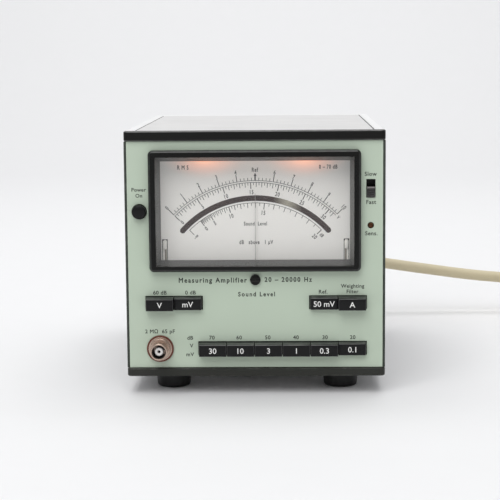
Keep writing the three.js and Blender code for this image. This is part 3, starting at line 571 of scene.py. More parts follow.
panel_ink = finish("dark_print", paint(34, 39, 33), 0.6, shade=0.1, grain_mm=0.3, relief=0.002)
small_words = [
    ("Power", -62, 111.4, 1.9, 0), ("On", -62, 108.2, 1.9, 0),
    ("Slow", 61.8, 119.25, 2.1, 0), ("Fast", 62.1, 104.2, 2.1, 0), ("Sens.", 62.2, 87.4, 2.1, 0),
    ("60 dB", -51.5, 55.7, 2, 0), ("0 dB", -35, 55.7, 2, 0), ("Ref.", 36.4, 55.9, 2, 0),
    ("Weighting", 52.2, 59, 1.9, 0), ("Filter", 52.2, 56, 1.9, 0), ("2 MΩ  65 pF", -51.8, 34.5, 2, 0),
    ("dB", -35.5, 30.9, 2, 0), ("V", -34.8, 26.6, 2, 0), ("mV", -35.6, 21.8, 2, 0),
]
small_words += [(words, x, 31, 2, 0) for words, x in
                (("70", -23.7), ("60", -9), ("50", 6.5), ("40", 21.7), ("30", 37.4), ("20", 52.3))]
printed("panel_words", small_words, 0, panel_ink, bold=0.018, spacing=1.08)
title_words = [("Measuring Amplifier", -22.9, 62.4, 2.5, 0), ("20 – 20000 Hz", 17.7, 62.6, 2.4, 0),
               ("Sound Level", 0.6, 54.7, 2.3, 0)]
printed("panel_title", title_words, 0, panel_ink, bold=0.026, narrow=0.92, spacing=1.31)

# ----------------------------------------
# Meter. A black moulded bezel snaps over the panel and holds the window. Behind it a glossy shroud leads in to the
# white dial.
# The greenish grey that shows in patches on the eased edges is partly wear and partly a painted highlight, the green of
# the panel reflected in the edges.
black_moulding = finish("black_moulding", paint(14, 14, 13), 0.3, shade=0.1, grain_mm=0.35, relief=0.004,
                        worn=paint(44, 54, 47), wear=0.5, sheen=0.2, edge_shine=0.45)
bezel_low, bezel_high = spread("meter_bezel")
bezel_half, bezel_mid = (bezel_high.x - bezel_low.x) / 2, (bezel_high.z + bezel_low.z) / 2
eased("bezel_frame", "meter_bezel", 0.35, black_moulding, steps=4, broad=1.2,
      on_broad=lambda p: p.y < bezel_low.y + 0.01 and (abs(p.x) > bezel_half - 2.6
                                                      or abs(p.z - bezel_mid) > bezel_mid - bezel_low.z - 2.6))
shroud_plastic = finish("gloss_shroud", paint(28, 28, 25), 0.3, shade=0.02, grain_mm=6, relief=0, spread_roughness=0,
                        sheen=0.4)
eased("shroud_funnel", "meter_shroud", 0.12, shroud_plastic, steps=2)

window_glass = bpy.data.materials.new("window_glass")
window_glass.use_nodes = True
glass_tree = window_glass.node_tree
glass_shader = glass_tree.nodes["Principled BSDF"]
wire(glass_tree, glass_shader, {"Base Color": (0.98, 0.99, 0.985, 1), "Transmission Weight": 1, "IOR": 1.46})
smears = added(glass_tree, "ShaderNodeGroup", {"Size mm": 9}, node_tree=grain_tree)
smear_gloss = added(glass_tree, "ShaderNodeMapRange", {
    "To Min": 0.0, "To Max": 0.002, "Value": smears.outputs["Grain"]})
wire(glass_tree, glass_shader, {"Roughness": smear_gloss.outputs["Result"]})
# Light that only lights what lies behind the pane passes straight through it.
rays = added(glass_tree, "ShaderNodeLightPath").outputs
passing = number(glass_tree, "MAXIMUM", rays["Is Shadow Ray"], rays["Is Diffuse Ray"])
clear = added(glass_tree, "ShaderNodeBsdfTransparent")
through = added(glass_tree, "ShaderNodeMixShader", {"Fac": passing, 1: glass_shader.outputs[0], 2: clear.outputs[0]})
wire(glass_tree, glass_tree.nodes["Material Output"], {"Surface": through.outputs[0]})
eased("window_pane", "meter_window", 0.2, window_glass, steps=2)

# ----------------------------------------
# Dial. A white printed plate. The warm light that the lamps above throw on its upper edge is painted into the plate as
# emission, over a faint painted glow all over it.
dial_paint = finish("dial_white", paint(236, 233, 229), 0.6, shade=0.01, grain_mm=0.6, relief=0.003)
dial_tree = dial_paint.node_tree
LAMP_APART = 27.2  # from the middle


def place_of(tree, kind, middle, size):
    """How near a point is to a spot of painted light: one at its middle, and none beyond its size."""
    near = added(tree, "ShaderNodeMapping", {
        "Vector": added(tree, "ShaderNodeTexCoord").outputs["Object"], "Location": middle, "Scale": size},
        vector_type="TEXTURE")
    return added(tree, "ShaderNodeTexGradient", {"Vector": near.outputs["Vector"]}, gradient_type=kind).outputs["Fac"]


# Painted lamp light: a warm emission round the place of each lamp, over a faint pale emission on the whole plate.
painted_left_glow, painted_right_glow = (
    place_of(dial_tree, "QUADRATIC_SPHERE", (side * LAMP_APART * MM, PANEL_FACE + 12 * MM, 127.5 * MM),
             (25 * MM, 30 * MM, 13 * MM)) for side in (-1, 1))
painted_glow = number(dial_tree, "ADD", painted_left_glow, painted_right_glow)
wire(dial_tree, dial_tree.nodes["Principled BSDF"], {
    "Emission Color": blended(dial_tree, painted_glow, (0.1, 0.096, 0.09, 1), (1.7, 0.4, 0.06, 1)), "Emission Strength": 0.5})
eased("dial_face", "dial_plate", 0.08, dial_paint, steps=2)
DIAL_FACE = spread("dial_plate")[0].y
PIVOT = 52.3
SWING = 90  # degrees from the scale's first mark to its last

# Scale marks are bars that stand round the pivot. One tree makes every row of them: a mark's value gives its share of
# the swing, in equal steps on the voltage scales and by the decibel law on the decibel scale.
def growing_tree(name, inputs):
    """An empty tree that makes a mesh from named inputs, what they give and the node that takes the mesh."""
    tree = bpy.data.node_groups.new(name, "GeometryNodeTree")
    tree.interface.new_socket("Geometry", in_out="OUTPUT", socket_type="NodeSocketGeometry")
    for label, kind in inputs.items():
        tree.interface.new_socket(label, in_out="INPUT", socket_type="NodeSocket" + kind)
    return tree, tree.nodes.new("NodeGroupInput").outputs, tree.nodes.new("NodeGroupOutput")


def copies(tree, points, instance, skin, end, rotation=(0, 0, 0)):
    """Ends a tree with one copy of a mesh on each point, made real and given its finish."""
    spots = {"Points": points, "Instance": instance, "Rotation": rotation}
    stood = added(tree, "GeometryNodeInstanceOnPoints", spots)
    real = added(tree, "GeometryNodeRealizeInstances", {0: stood.outputs[0]})
    skinned = added(tree, "GeometryNodeSetMaterial", {"Geometry": real.outputs[0], "Material": skin})
    wire(tree, end, {0: skinned.outputs[0]})


marks, given, marks_end = growing_tree("scale_marks", {
    "Count": "Int", "First value": "Float", "Step": "Float", "Full scale": "Float", "Decibels": "Bool",
    "Swing": "Float", "Inner radius": "Float", "Outer radius": "Float", "Width": "Float", "Layer": "Float",
    "Ink": "Material"})
order = added(marks, "GeometryNodeInputIndex").outputs[0]
value = number(marks, "ADD", given["First value"], number(marks, "MULTIPLY", order, given["Step"]))
equal_share = number(marks, "DIVIDE", value, given["Full scale"])
below_full = number(marks, "DIVIDE", number(marks, "SUBTRACT", value, given["Full scale"]), 20)
share = added(marks, "GeometryNodeSwitch", {
    "Switch": given["Decibels"], "False": equal_share, "True": number(marks, "POWER", 10, below_full)},
    input_type="FLOAT").outputs[0]
lean = number(marks, "MULTIPLY", number(marks, "SUBTRACT", share, 0.5), given["Swing"])
length = number(marks, "SUBTRACT", given["Outer radius"], given["Inner radius"])
middle = number(marks, "MULTIPLY", number(marks, "ADD", given["Outer radius"], given["Inner radius"]), 0.5)
size = added(marks, "ShaderNodeCombineXYZ", {"X": given["Width"], "Y": given["Layer"], "Z": length})
bar = added(marks, "GeometryNodeMeshCube", {"Size": size.outputs[0]})
offset = added(marks, "ShaderNodeCombineXYZ", {"Z": middle})
moved_bar = added(marks, "GeometryNodeTransform", {"Geometry": bar.outputs["Mesh"], "Translation": offset.outputs[0]})
row = added(marks, "GeometryNodeMeshLine", {"Offset": (0, 0, 0), "Count": given["Count"]})
about = added(marks, "ShaderNodeCombineXYZ", {"Y": lean})
copies(marks, row.outputs["Mesh"], moved_bar.outputs[0], given["Ink"], marks_end, about.outputs[0])


def grown(tree, settings):
    """The plain mesh that a node tree makes with the given settings."""
    holder = bpy.data.objects.new("holder", bpy.data.meshes.new("holder"))
    bpy.context.collection.objects.link(holder)
    modifier = holder.modifiers.new("tree", "NODES")
    modifier.node_group = tree
    sockets = {item.name: item.identifier for item in tree.interface.items_tree if item.in_out == "INPUT"}
    for label, setting in settings.items():
        modifier[sockets[label]] = setting
    holder.update_tag()
    bpy.context.view_layer.update()
    mesh = bpy.data.meshes.new_from_object(holder.evaluated_get(bpy.context.evaluated_depsgraph_get()))
    holder.modifiers.remove(modifier)
    bpy.data.objects.remove(holder)
    return mesh


dial_ink = finish("dial_print", paint(18, 16, 15), 0.6, shade=0.1, grain_mm=0.3, relief=0.002)
OUTER_LINE, INNER_LINE, DECIBEL_LINE = 62.7, 61.7, 50.6
mark_rows = [
    # count, first value, step, full scale, decibels, inner radius, outer radius, width
    (11, 0, 1, 10, False, OUTER_LINE, 66.6, 0.42),
    (51, 0, 0.2, 10, False, OUTER_LINE, 64.3, 0.29),
    (32, 0, 1, 31.6, False, 59.2, INNER_LINE, 0.31),
    (31, 0.5, 1, 31.6, False, 60.2, INNER_LINE, 0.27),
    (7, 0, 5, 31.6, False, 58.2, INNER_LINE, 0.44),
    (21, 0, 1, 20, True, 48, DECIBEL_LINE, 0.31),
    (20, 0.5, 1, 20, True, 49, DECIBEL_LINE, 0.27),
    (5, 0, 5, 20, True, 47.2, DECIBEL_LINE, 0.42),
    (1, -200, 1, 20, True, 47, DECIBEL_LINE, 0.3),
    (1, 5, 1, 10, False, OUTER_LINE, 65.4, 0.7),
]
LAYER = 0.04
dial_work = bmesh.new()
for count, first, step, full, law, inner, outer, width in mark_rows:
    rows = grown(marks, {
        "Count": count, "First value": float(first), "Step": float(step), "Full scale": float(full), "Decibels": law,
        "Swing": math.radians(SWING), "Inner radius": float(inner), "Outer radius": float(outer),
        "Width": float(width), "Layer": LAYER, "Ink": dial_ink,
    })
    rows.transform(Matrix.Translation((0, DIAL_FACE - LAYER / 2 - 0.01, PIVOT)))
    dial_work.from_mesh(rows)
    bpy.data.meshes.remove(rows)


def arc_band(work, radius, width, start, end, front, back, steps=96, round_ends=False):
    """A flat band that follows an arc round the pivot, from one angle to another, closed on all sides."""
    rings = []
    spots = [(start + (end - start) * i / steps, width / 2) for i in range(steps + 1)]
    if round_ends:
        cap = math.degrees(width / 2 / radius)
        turn_in = [(math.cos(math.radians(a)), math.sin(math.radians(a))) for a in range(0, 90, 15)]
        spots = ([(start - cap * c, width / 2 * s) for c, s in turn_in] + spots
                 + [(end + cap * c, width / 2 * s) for c, s in reversed(turn_in)])
    for angle, half in spots:
        a = math.radians(angle)
        rings.append([work.verts.new((r * math.sin(a), y, PIVOT + r * math.cos(a)))
                      for r, y in ((radius + half, front), (radius + half, back),
                                   (radius - half, back), (radius - half, front))])
    for near_ring, far_ring in zip(rings, rings[1:]):
        for i in range(4):
            j = (i + 1) % 4
            work.faces.new((near_ring[i], near_ring[j], far_ring[j], far_ring[i]))
    work.faces.new(rings[0][::-1])
    work.faces.new(rings[-1])


def outline_solid(work, path, front, back):
    """A flat outline in X and Z carried from one depth to another and closed."""
    near = [work.verts.new((x, front, z)) for x, z in path]
    far = [work.verts.new((x, back, z)) for x, z in path]
    count = len(path)
    work.faces.new(near)
    work.faces.new(far[::-1])
    for i in range(count):
        j = (i + 1) % count
        work.faces.new((near[i], far[i], far[j], near[j]))
    return work


for radius in (OUTER_LINE, INNER_LINE, DECIBEL_LINE):
    arc_band(dial_work, radius, 0.26, -SWING / 2, SWING / 2, DIAL_FACE - LAYER, DIAL_FACE - 0.005)
outline_solid(dial_work, [(-0.8, PIVOT + 65.2), (0.8, PIVOT + 65.2), (0, PIVOT + 67)], DIAL_FACE - LAYER,
              DIAL_FACE - 0.005)
bmesh.ops.recalc_face_normals(dial_work, faces=dial_work.faces)


def round_dial(words, radius, angle, high):
    """A word that stands on the arc, turned with it."""
    a = math.radians(angle)
    return (words, radius * math.sin(a), PIVOT + radius * math.cos(a), high, angle)


DIGIT = 2.2
dial_words = [round_dial(str(v), 67.9, SWING * (v / 10 - 0.5), DIGIT) for v in (0, 1, 2, 3, 4, 6, 7, 8, 9, 10)]
dial_words += [round_dial("Ref", 68.6, 0, DIGIT)]
dial_words += [round_dial(str(v), 56.5, SWING * (v / 31.6 - 0.5) + 0.35, DIGIT) for v in range(0, 31, 5)]
dial_words += [round_dial(str(v), 45.4, SWING * (10 ** ((v - 20) / 20) - 0.5), DIGIT) for v in range(0, 21, 5)]
dial_words += [round_dial("V", 61.9, 46.6, 1.8), round_dial("dB", 48.7, 47.6, 1.8)]
dial_words += [round_dial("–∞", 45.6, -45, 1.7)]
dial_words += [("dB   above   1 µV", 0.4, 81.5, 2.1, 0), ("Sound  Level", 0, 91.6, 2, 0),
               ("R M S", -39, 122.3, 2.2, 0), ("0 – 70 dB", 39.5, 122.3, 2.1, 0)]
printed("dial_print", dial_words, DIAL_FACE, dial_ink, bold=0.022, narrow=0.7, spacing=1.18,
        layer=LAYER, work=dial_work)

# ----------------------------------------
# Mirror strip. A polished strip behind the needle's tip, against which the reading is taken without parallax.
# Its dark brown colour is a painted reflection of a dark room, and a pale patch right of the middle is a painted
# highlight.
mirror = finish("dark_mirror", paint(56, 40, 37), 0.22, metallic=0.6, shade=0.06, grain_mm=1, relief=0,
                spread_roughness=0.02, sheen=0.2)
mirror_tree = mirror.node_tree
# Painted highlight: a pale patch on the mirror, right of the middle.
painted_sheen = place_of(mirror_tree, "SPHERICAL", (17.5 * MM, PANEL_FACE + 12 * MM, 103 * MM), (8 * MM, 30 * MM, 16 * MM))
mirror_shader = mirror_tree.nodes["Principled BSDF"]
plain_tone = mirror_shader.inputs["Base Color"].links[0].from_socket
wire(mirror_tree, mirror_shader, {"Base Color": blended(mirror_tree, painted_sheen, plain_tone, paint(170, 165, 150))})
mirror_work = bmesh.new()
arc_band(mirror_work, 53.2, 3, -48, 48, DIAL_FACE - 0.12, DIAL_FACE - 0.005, round_ends=True)
solid("mirror_strip", mirror_work, mirror, crease=35)
edge_work = bmesh.new()
arc_band(edge_work, 51.45, 0.45, -48.2, 48.2, DIAL_FACE - 0.06, DIAL_FACE - 0.005)
bright_edge = finish("mirror_edge", paint(240, 238, 236), 0.3, shade=0.02, grain_mm=1, relief=0.001)
solid("mirror_edge", edge_work, bright_edge)

# ----------------------------------------
# Clips. Two white nylon clips reach through slots in the dial and hold it. Each has a rounded tongue at the top and a
# pale channel below it, inside a dark shadow line. A grey sheet over the inner part of each channel is painted shade.
nylon = finish("white_nylon", paint(250, 247, 240), 0.35, shade=0.02, grain_mm=0.4, relief=0.004)
slot_shade = finish("slot_shade", paint(150, 142, 130), 0.6, shade=0.1, grain_mm=0.4, relief=0.004)


def bevelled(work, radius, steps=2, over=30):
    """Rounds the sharp edges of a mesh in work and marks them as places where wear shows."""
    mark = work.faces.layers.float.get("eased_edge") or work.faces.layers.float.new("eased_edge")
    bmesh.ops.recalc_face_normals(work, faces=work.faces)
    sharp = [e for e in work.edges if len(e.link_faces) == 2 and e.calc_face_angle(0) > math.radians(over)]
    made = bmesh.ops.bevel(work, geom=sharp, offset=radius, offset_type="OFFSET", segments=steps, profile=0.5,
                           affect="EDGES", clamp_overlap=True)
    for face in made["faces"]:
        face[mark] = 1
        face.smooth = True
    return work


for side_name in ("left", "right"):
    low, high = spread(f"dial_clip_{side_name}")
    mid, half, lowest, highest = (low.x + high.x) / 2, (high.x - low.x) / 2, low.z, high.z
    rail_work = bmesh.new()
    frame_path = [(mid - half, lowest), (mid + half, lowest), (mid + half, highest - half)]
    frame_path += [(mid + half * math.cos(a), highest - half + half * math.sin(a))
                   for a in (math.radians(d) for d in range(15, 181, 15))]
    outline_solid(rail_work, frame_path, DIAL_FACE - 0.1, DIAL_FACE + 1.8)
    solid(f"clip_channel_{side_name}", rail_work, nylon, crease=30,
          stands_for=f"dial_clip_{side_name}")
    tongue_work = bmesh.new()
    tongue_half = half * 0.86
    tongue_path = [(mid - tongue_half, highest - 4.4), (mid - tongue_half * 0.5, highest - 5.1),
                   (mid + tongue_half * 0.5, highest - 5.1), (mid + tongue_half, highest - 4.4)]
    tongue_path += [(mid + tongue_half * math.cos(a), highest - 0.3 - tongue_half + tongue_half * math.sin(a))
                    for a in (math.radians(d) for d in range(0, 181, 15))]
    outline_solid(tongue_work, tongue_path, DIAL_FACE - 1, DIAL_FACE - 0.12)
    bevelled(tongue_work, 0.35, 3, over=60)
    solid(f"clip_tongue_{side_name}", tongue_work, nylon, crease=60)
    # Painted shade: a grey sheet over the inner part of the channel, where it falls into shadow.
    shade_work = bmesh.new()
    inward = -1 if mid > 0 else 1
    near_edge, far_edge = sorted((mid - inward * half * 0.05, mid + inward * half * 0.86))
    outline_solid(shade_work, [(near_edge, lowest + 0.2), (far_edge, lowest + 0.2), (far_edge, highest - 4.8),
                               (near_edge, highest - 4.8)], DIAL_FACE - 0.16, DIAL_FACE - 0.11)
    solid(f"clip_groove_{side_name}", shade_work, slot_shade)

# ----------------------------------------
# Lamps. Two small warm bulbs stand in a strip above the dial, behind the top of the bezel.
lamp_glass = finish("lamp_glass", paint(255, 190, 140), 0.2, shade=0.05, grain_mm=1, relief=0.002)
lamp_tree = lamp_glass.node_tree
where = added(lamp_tree, "ShaderNodeTexCoord").outputs["Object"]
height = added(lamp_tree, "ShaderNodeSeparateXYZ", {0: where}).outputs["Z"]
lit = added(lamp_tree, "ShaderNodeMapRange", {"From Min": 131.4 * MM, "From Max": 130.9 * MM, "Value": height})
wire(lamp_tree, lamp_tree.nodes["Principled BSDF"], {
    "Emission Color": blended(lamp_tree, lit.outputs["Result"], (0, 0, 0, 1), (1, 0.5, 0.28, 1)),
    "Emission Strength": 2})
eased("bulb_strip", "lamp_strip", 0.2, lamp_glass, steps=2, over=50)

# ----------------------------------------
# Movement. A blade-shaped aluminium needle, painted black, turns on a moving coil between the poles of a magnet. The
# coil, its core, the magnet and the housing are hidden behind the dial.
def dress(node, material):
    """Gives a CAD piece that stays as it is its own finish."""
    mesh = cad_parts[node].data
    mesh.materials.clear()
    mesh.materials.append(material)


needle_paint = finish("needle_paint", paint(140, 138, 134), 0.35, shade=0.1, grain_mm=0.5, relief=0.002,
                      worn=paint(90, 88, 84), wear=0.4)
needle_low, needle_high = spread("pointer")
needle_front = needle_low.y + 0.5
needle_work = bmesh.new()
outline_solid(needle_work, [(-0.35, PIVOT - 8), (0.35, PIVOT - 8), (0.3, PIVOT + 5), (0.1, PIVOT + 14),
                            (0.08, needle_high.z - 0.4), (0, needle_high.z), (-0.08, needle_high.z - 0.4),
                            (-0.1, PIVOT + 14), (-0.3, PIVOT + 5)], needle_front - 0.2, needle_front + 0.6)
solid("needle", needle_work, needle_paint, "pointer", stands_for="pointer")
hub_work = turning([(0, needle_front - 0.45), (2, needle_front - 0.45), (2.45, needle_front - 0.1),
                    (2.45, needle_front + 0.6), (2.1, needle_front + 0.95), (0, needle_front + 0.95)], 40,
                   at=(0, 0, PIVOT))
outline_solid(hub_work, [(-1.9, PIVOT - 11.9), (1.9, PIVOT - 11.9), (1.9, PIVOT - 8.1), (-1.9, PIVOT - 8.1)],
              needle_front - 0.45, needle_front + 0.95)
solid("needle_hub", hub_work, needle_paint, "pointer", crease=35)

soft_iron = finish("soft_iron", paint(120, 121, 122), 0.4, metallic=0.9, shade=0.1, grain_mm=0.5, relief=0.01)
copper_wire = finish("enamelled_wire", paint(150, 84, 44), 0.35, metallic=0.7, shade=0.15, grain_mm=0.3,
                     stretch=(1, 12, 1), relief=0.03)
dress("magnet_yoke", soft_iron)
dress("movement_core", soft_iron)
dress("moving_coil", copper_wire)
dress("meter_housing", black_moulding)

# ----------------------------------------
# Zero adjuster. A black moulded disc with a screwdriver slot, under the middle of the meter.
disc_low, disc_high = spread("zero_adjuster")
disc_z, disc_r, disc_front = (disc_low.z + disc_high.z) / 2, (disc_high.z - disc_low.z) / 2, disc_low.y
disc_work = bmesh.new()
for upper in (1, -1):
    # half the head on each side of the slot, down to the slot's floor
    start = math.asin(0.42 / disc_r)
    arc = [start + (math.pi - 2 * start) * i / 20 for i in range(21)]
    path = [(disc_r * math.cos(a), disc_z + upper * disc_r * math.sin(a)) for a in arc]
    outline_solid(disc_work, path if upper > 0 else path[::-1], disc_front, disc_front + 0.8)
bevelled(disc_work, 0.22, 3, over=50)
turning([(0, disc_front + 0.81), (disc_r, disc_front + 0.81), (disc_r, -0.05), (1.4, -0.05), (1.4, disc_high.y),
         (0, disc_high.y)], 48, disc_work, at=(0, 0, disc_z))
solid("adjuster_disc", disc_work, black_moulding, "zero_adjuster", crease=50,
      stands_for="zero_adjuster")

# ----------------------------------------
# Push keys. Ten moulded black caps on square plungers. Each has a slanted top front edge that catches the light, and a
# white legend. The plungers slide in pressed-steel switch banks behind the panel.
key_moulding = finish("key_moulding", paint(20, 20, 21), 0.34, shade=0.12, grain_mm=0.4, relief=0.01,
                      worn=paint(84, 84, 80), wear=0.3, sheen=0.2, edge_shine=1)
white_print = finish("white_print", paint(238, 238, 236), 0.5, shade=0.03, grain_mm=0.3, relief=0.002)
KEY_LEGENDS = {"key_v": "V", "key_mv": "mV", "key_ref": "50 mV", "key_a": "A", "key_30": "30", "key_10": "10",
               "key_3": "3", "key_1": "1", "key_0_3": "0.3", "key_0_1": "0.1"}
PLUNGER = 1.55
for node, legend in KEY_LEGENDS.items():
    low, high = spread(node)
    front, back = low.y, low.y + 10
    mid_x, mid_z = (low.x + high.x) / 2, (low.z + high.z) / 2
    half_w, half_h = (high.x - low.x) / 2, (high.z - low.z) / 2
    cap_work = bmesh.new()
    section = [(front, mid_z - half_h), (back, mid_z - half_h), (back, mid_z + half_h),
               (front + 1.9, mid_z + half_h), (front, mid_z + half_h - 0.85)]
    left_side = [cap_work.verts.new((mid_x - half_w, y, z)) for y, z in section]
    right_side = [cap_work.verts.new((mid_x + half_w, y, z)) for y, z in section]
    cap_work.faces.new(left_side)
    cap_work.faces.new(right_side[::-1])
    for i in range(5):
        j = (i + 1) % 5
        cap_work.faces.new((left_side[i], right_side[i], right_side[j], left_side[j]))
    bevelled(cap_work, 0.22, 3, over=15)
    polished = cap_work.faces.layers.float.get("eased_edge")
    for face in cap_work.faces:
        if face.normal.z > 0.5 and face.normal.y < -0.2:
            face[polished] = 1
    plunger_work = outline_solid(bmesh.new(), [
        (mid_x - PLUNGER, mid_z - PLUNGER), (mid_x + PLUNGER, mid_z - PLUNGER), (mid_x + PLUNGER, mid_z + PLUNGER),
        (mid_x - PLUNGER, mid_z + PLUNGER)], back + 0.01, high.y)
    bevelled(plunger_work, 0.15, 1)
    plunger_mesh = bpy.data.meshes.new("plunger")
    plunger_work.to_mesh(plunger_mesh)
    plunger_work.free()
    cap_work.from_mesh(plunger_mesh)
    bpy.data.meshes.remove(plunger_mesh)
    solid(f"{node}_cap", cap_work, key_moulding, node, crease=40, stands_for=node)
    printed(f"{node}_legend", [(legend, mid_x, mid_z - 0.4, 2.9, 0)], front + 0.005, white_print,
            node, bold=0.006, narrow=1.02, layer=0.05)

zinc_plate = finish("zinc_plate", paint(186, 188, 190), 0.42, metallic=0.85, shade=0.1, grain_mm=0.5, relief=0.01)
# The switch banks are given the black moulding so that the gaps round the keys look dark: painted shade.
for bank in ("left", "right", "range"):
    dress(f"key_bank_{bank}", black_moulding)

# ----------------------------------------
# Power button. A round black cap with a softly domed face, on a square-bodied push switch.
low, high = spread("power_button")
button_r, button_x, button_z = (high.x - low.x) / 2, (low.x + high.x) / 2, (low.z + high.z) / 2
button_profile = [(0, low.y + 0.02), (1.4, low.y + 0.05), (2.4, low.y + 0.16), (button_r - 0.75, low.y + 0.32)]
button_profile += [(button_r - 0.75 + 0.75 * math.sin(a), low.y + 0.32 + 0.75 * (1 - math.cos(a)))
                   for a in (math.radians(d) for d in (20, 40, 60, 75, 90))]
button_profile += [(button_r, low.y + 10), (2, low.y + 10), (2, high.y), (0, high.y)]
solid("power_cap", turning(button_profile, 56, at=(button_x, 0, button_z)), key_moulding,
      "power_button", crease=50, stands_for="power_button")
dress("power_switch", zinc_plate)

# ----------------------------------------
# Slide switch. A black knob with grip ribs runs in an upright slot. The light that the top of the knob catches is
# painted as a pale grey strip along its top.
low, high = spread("slide_knob")
grip_ribs, given, ribs_end = growing_tree("grip_ribs", {
    "Count": "Int", "Apart": "Float", "Rib": "Vector", "Start": "Vector", "Skin": "Material"})
step = added(grip_ribs, "ShaderNodeCombineXYZ", {"Z": given["Apart"]})
line = added(grip_ribs, "GeometryNodeMeshLine", {
    "Count": given["Count"], "Offset": step.outputs[0], "Start Location": given["Start"]})
rod = added(grip_ribs, "GeometryNodeMeshCylinder", {"Vertices": 12, "Radius": 0.5, "Depth": 1})
laid = added(grip_ribs, "GeometryNodeTransform", {
    "Geometry": rod.outputs["Mesh"], "Rotation": (0, math.radians(90), 0)})
rib = added(grip_ribs, "GeometryNodeTransform", {"Geometry": laid.outputs[0], "Scale": given["Rib"]})
copies(grip_ribs, line.outputs["Mesh"], rib.outputs[0], given["Skin"], ribs_end)
knob_w = high.x - low.x
ribs = grown(grip_ribs, {
    "Count": 4, "Apart": 1.05, "Rib": (knob_w - 0.7, 0.9, 0.55), "Skin": key_moulding,
    "Start": ((low.x + high.x) / 2, low.y + 0.45, low.z + 0.75),
})
knob_work = bmesh.new()
outline_solid(knob_work, [(low.x, low.z), (high.x, low.z), (high.x, high.z), (low.x, high.z)], low.y + 0.4, high.y)
bevelled(knob_work, 0.25, 2)
knob_work.from_mesh(ribs)
bpy.data.meshes.remove(ribs)
# Painted highlight: a pale grey strip along the top of the knob.
highlight_strip_work = outline_solid(bmesh.new(), [(low.x + 0.05, high.z - 0.9), (high.x - 0.05, high.z - 0.9),
                                       (high.x - 0.05, high.z), (low.x + 0.05, high.z)], low.y, low.y + 0.39)
bevelled(highlight_strip_work, 0.12, 2)
knob_skin = finish("knob_moulding", paint(34, 33, 33), 0.34, shade=0.1, grain_mm=0.3, relief=0.008,
                   worn=paint(110, 106, 104), wear=0.8)
solid("slide_grip", knob_work, knob_skin, "slide_knob", crease=40, stands_for="slide_knob")
painted_highlight = finish("knob_painted_highlight", paint(122, 118, 117), 0.4, shade=0.1, grain_mm=0.3, relief=0.004)
solid("slide_grip_edge", highlight_strip_work, painted_highlight, "slide_knob", crease=40)
dress("slide_switch", black_moulding)

# ----------------------------------------
# Sensitivity screw. A small brass screw sits just behind its hole, in a dark brass tone.
dark_brass = finish("dark_brass", paint(88, 54, 30), 0.4, metallic=0.6, shade=0.2, grain_mm=0.3, relief=0.01,
                    worn=paint(170, 120, 70), wear=0.6)
eased("sens_slot_screw", "sens_screw", 0.12, dark_brass, "sens_screw", steps=2, over=50)
dress("sens_trimmer", black_moulding)

# ----------------------------------------
# Coaxial sockets. Nickel-plated turned bodies with a ringed hub. A red-brown washer shows round the front one, whose
# barrel holds a white insulator with the centre contact.
def socket_profile(flange, lip, hub, hub_reach, barrel, bore, reach, neck, neck_back):
    """Outline of a coaxial socket, from the middle of its bore out over the barrel and hub to the neck."""
    rings = []
    for groove in range(3):
        start = -hub_reach + 0.35 + groove * 0.85
        rings += [(hub, start), (hub, start + 0.4), (hub - 0.3, start + 0.52), (hub - 0.3, start + 0.72)]
    return ([(0, -2), (bore, -2), (bore, -reach + 0.3), (bore + 0.25, -reach), (barrel - 0.3, -reach),
             (barrel, -reach + 0.3), (barrel, -reach + 1.3), (barrel - 0.25, -reach + 1.6),
             (barrel - 0.25, -hub_reach), (hub - 0.3, -hub_reach)]
            + rings + [(hub - 0.2, -lip), (flange - 0.3, -lip), (flange, -lip + 0.3), (flange, -0.3), (neck, -0.3),
                       (neck, neck_back), (0, neck_back)])


low, high = spread("input_socket")
in_x, in_z = (low.x + high.x) / 2, (low.z + high.z) / 2
front_socket_work = turning(socket_profile(6.6, 1.1, 5.6, 4, 4.6, 3.7, 11, 4.5, 8), 72, at=(in_x, 0, in_z))
warm_nickel = finish("warm_nickel", paint(196, 174, 160), 0.3, metallic=0.95, shade=0.08, grain_mm=0.4, relief=0,
                     worn=paint(168, 130, 96), wear=0.5)
solid("input_coaxial", front_socket_work, warm_nickel, crease=30, stands_for="input_socket")
copper_ring = finish("copper_washer", paint(104, 56, 42), 0.35, metallic=0.3, shade=0.15, grain_mm=0.4, relief=0.01)
washer_work = turning([(6.4, -1.02), (6.95, -1.15), (7.25, -1.0), (7.3, -0.7), (7.3, -0.06), (6.4, -0.06),
                       (6.4, -1.02)], 72, at=(in_x, 0, in_z))
solid("input_washer", washer_work, copper_ring, crease=40)
# Painted shade: a dark liner inside the front barrel and a dark disc at the hollow centre contact stand for the shadow
# in the bore.
bore_shade = finish("bore_shade", paint(30, 26, 24), 0.5, metallic=0.3, shade=0.2, grain_mm=0.3, relief=0.01)
liner_work = turning([(3.5, -2.1), (3.5, -10.6), (3.68, -10.6), (3.68, -2.1), (3.5, -2.1)], 48, at=(in_x, 0, in_z))
solid("input_bore", liner_work, bore_shade, crease=35)
low, high = spread("input_insulator")
post_r = (high.x - low.x) / 2
insulator_profile = [(0, low.y + 5), (0.85, low.y + 5), (0.85, low.y + 0.1), (1, low.y), (post_r - 0.35, low.y),
                     (post_r, low.y + 0.35), (post_r, high.y), (0, high.y)]
ptfe = finish("ptfe", paint(226, 222, 220), 0.4, shade=0.03, grain_mm=0.5, relief=0.003)
solid("input_ptfe", turning(insulator_profile, 48, at=(in_x, 0, in_z)), ptfe, crease=35,
      stands_for="input_insulator")
contact_shade_work = turning([(0, low.y + 4.6), (0.8, low.y + 4.6), (0.8, low.y + 4.9), (0, low.y + 4.9)], 24, at=(in_x, 0, in_z))
solid("input_contact", contact_shade_work, bore_shade, crease=35)

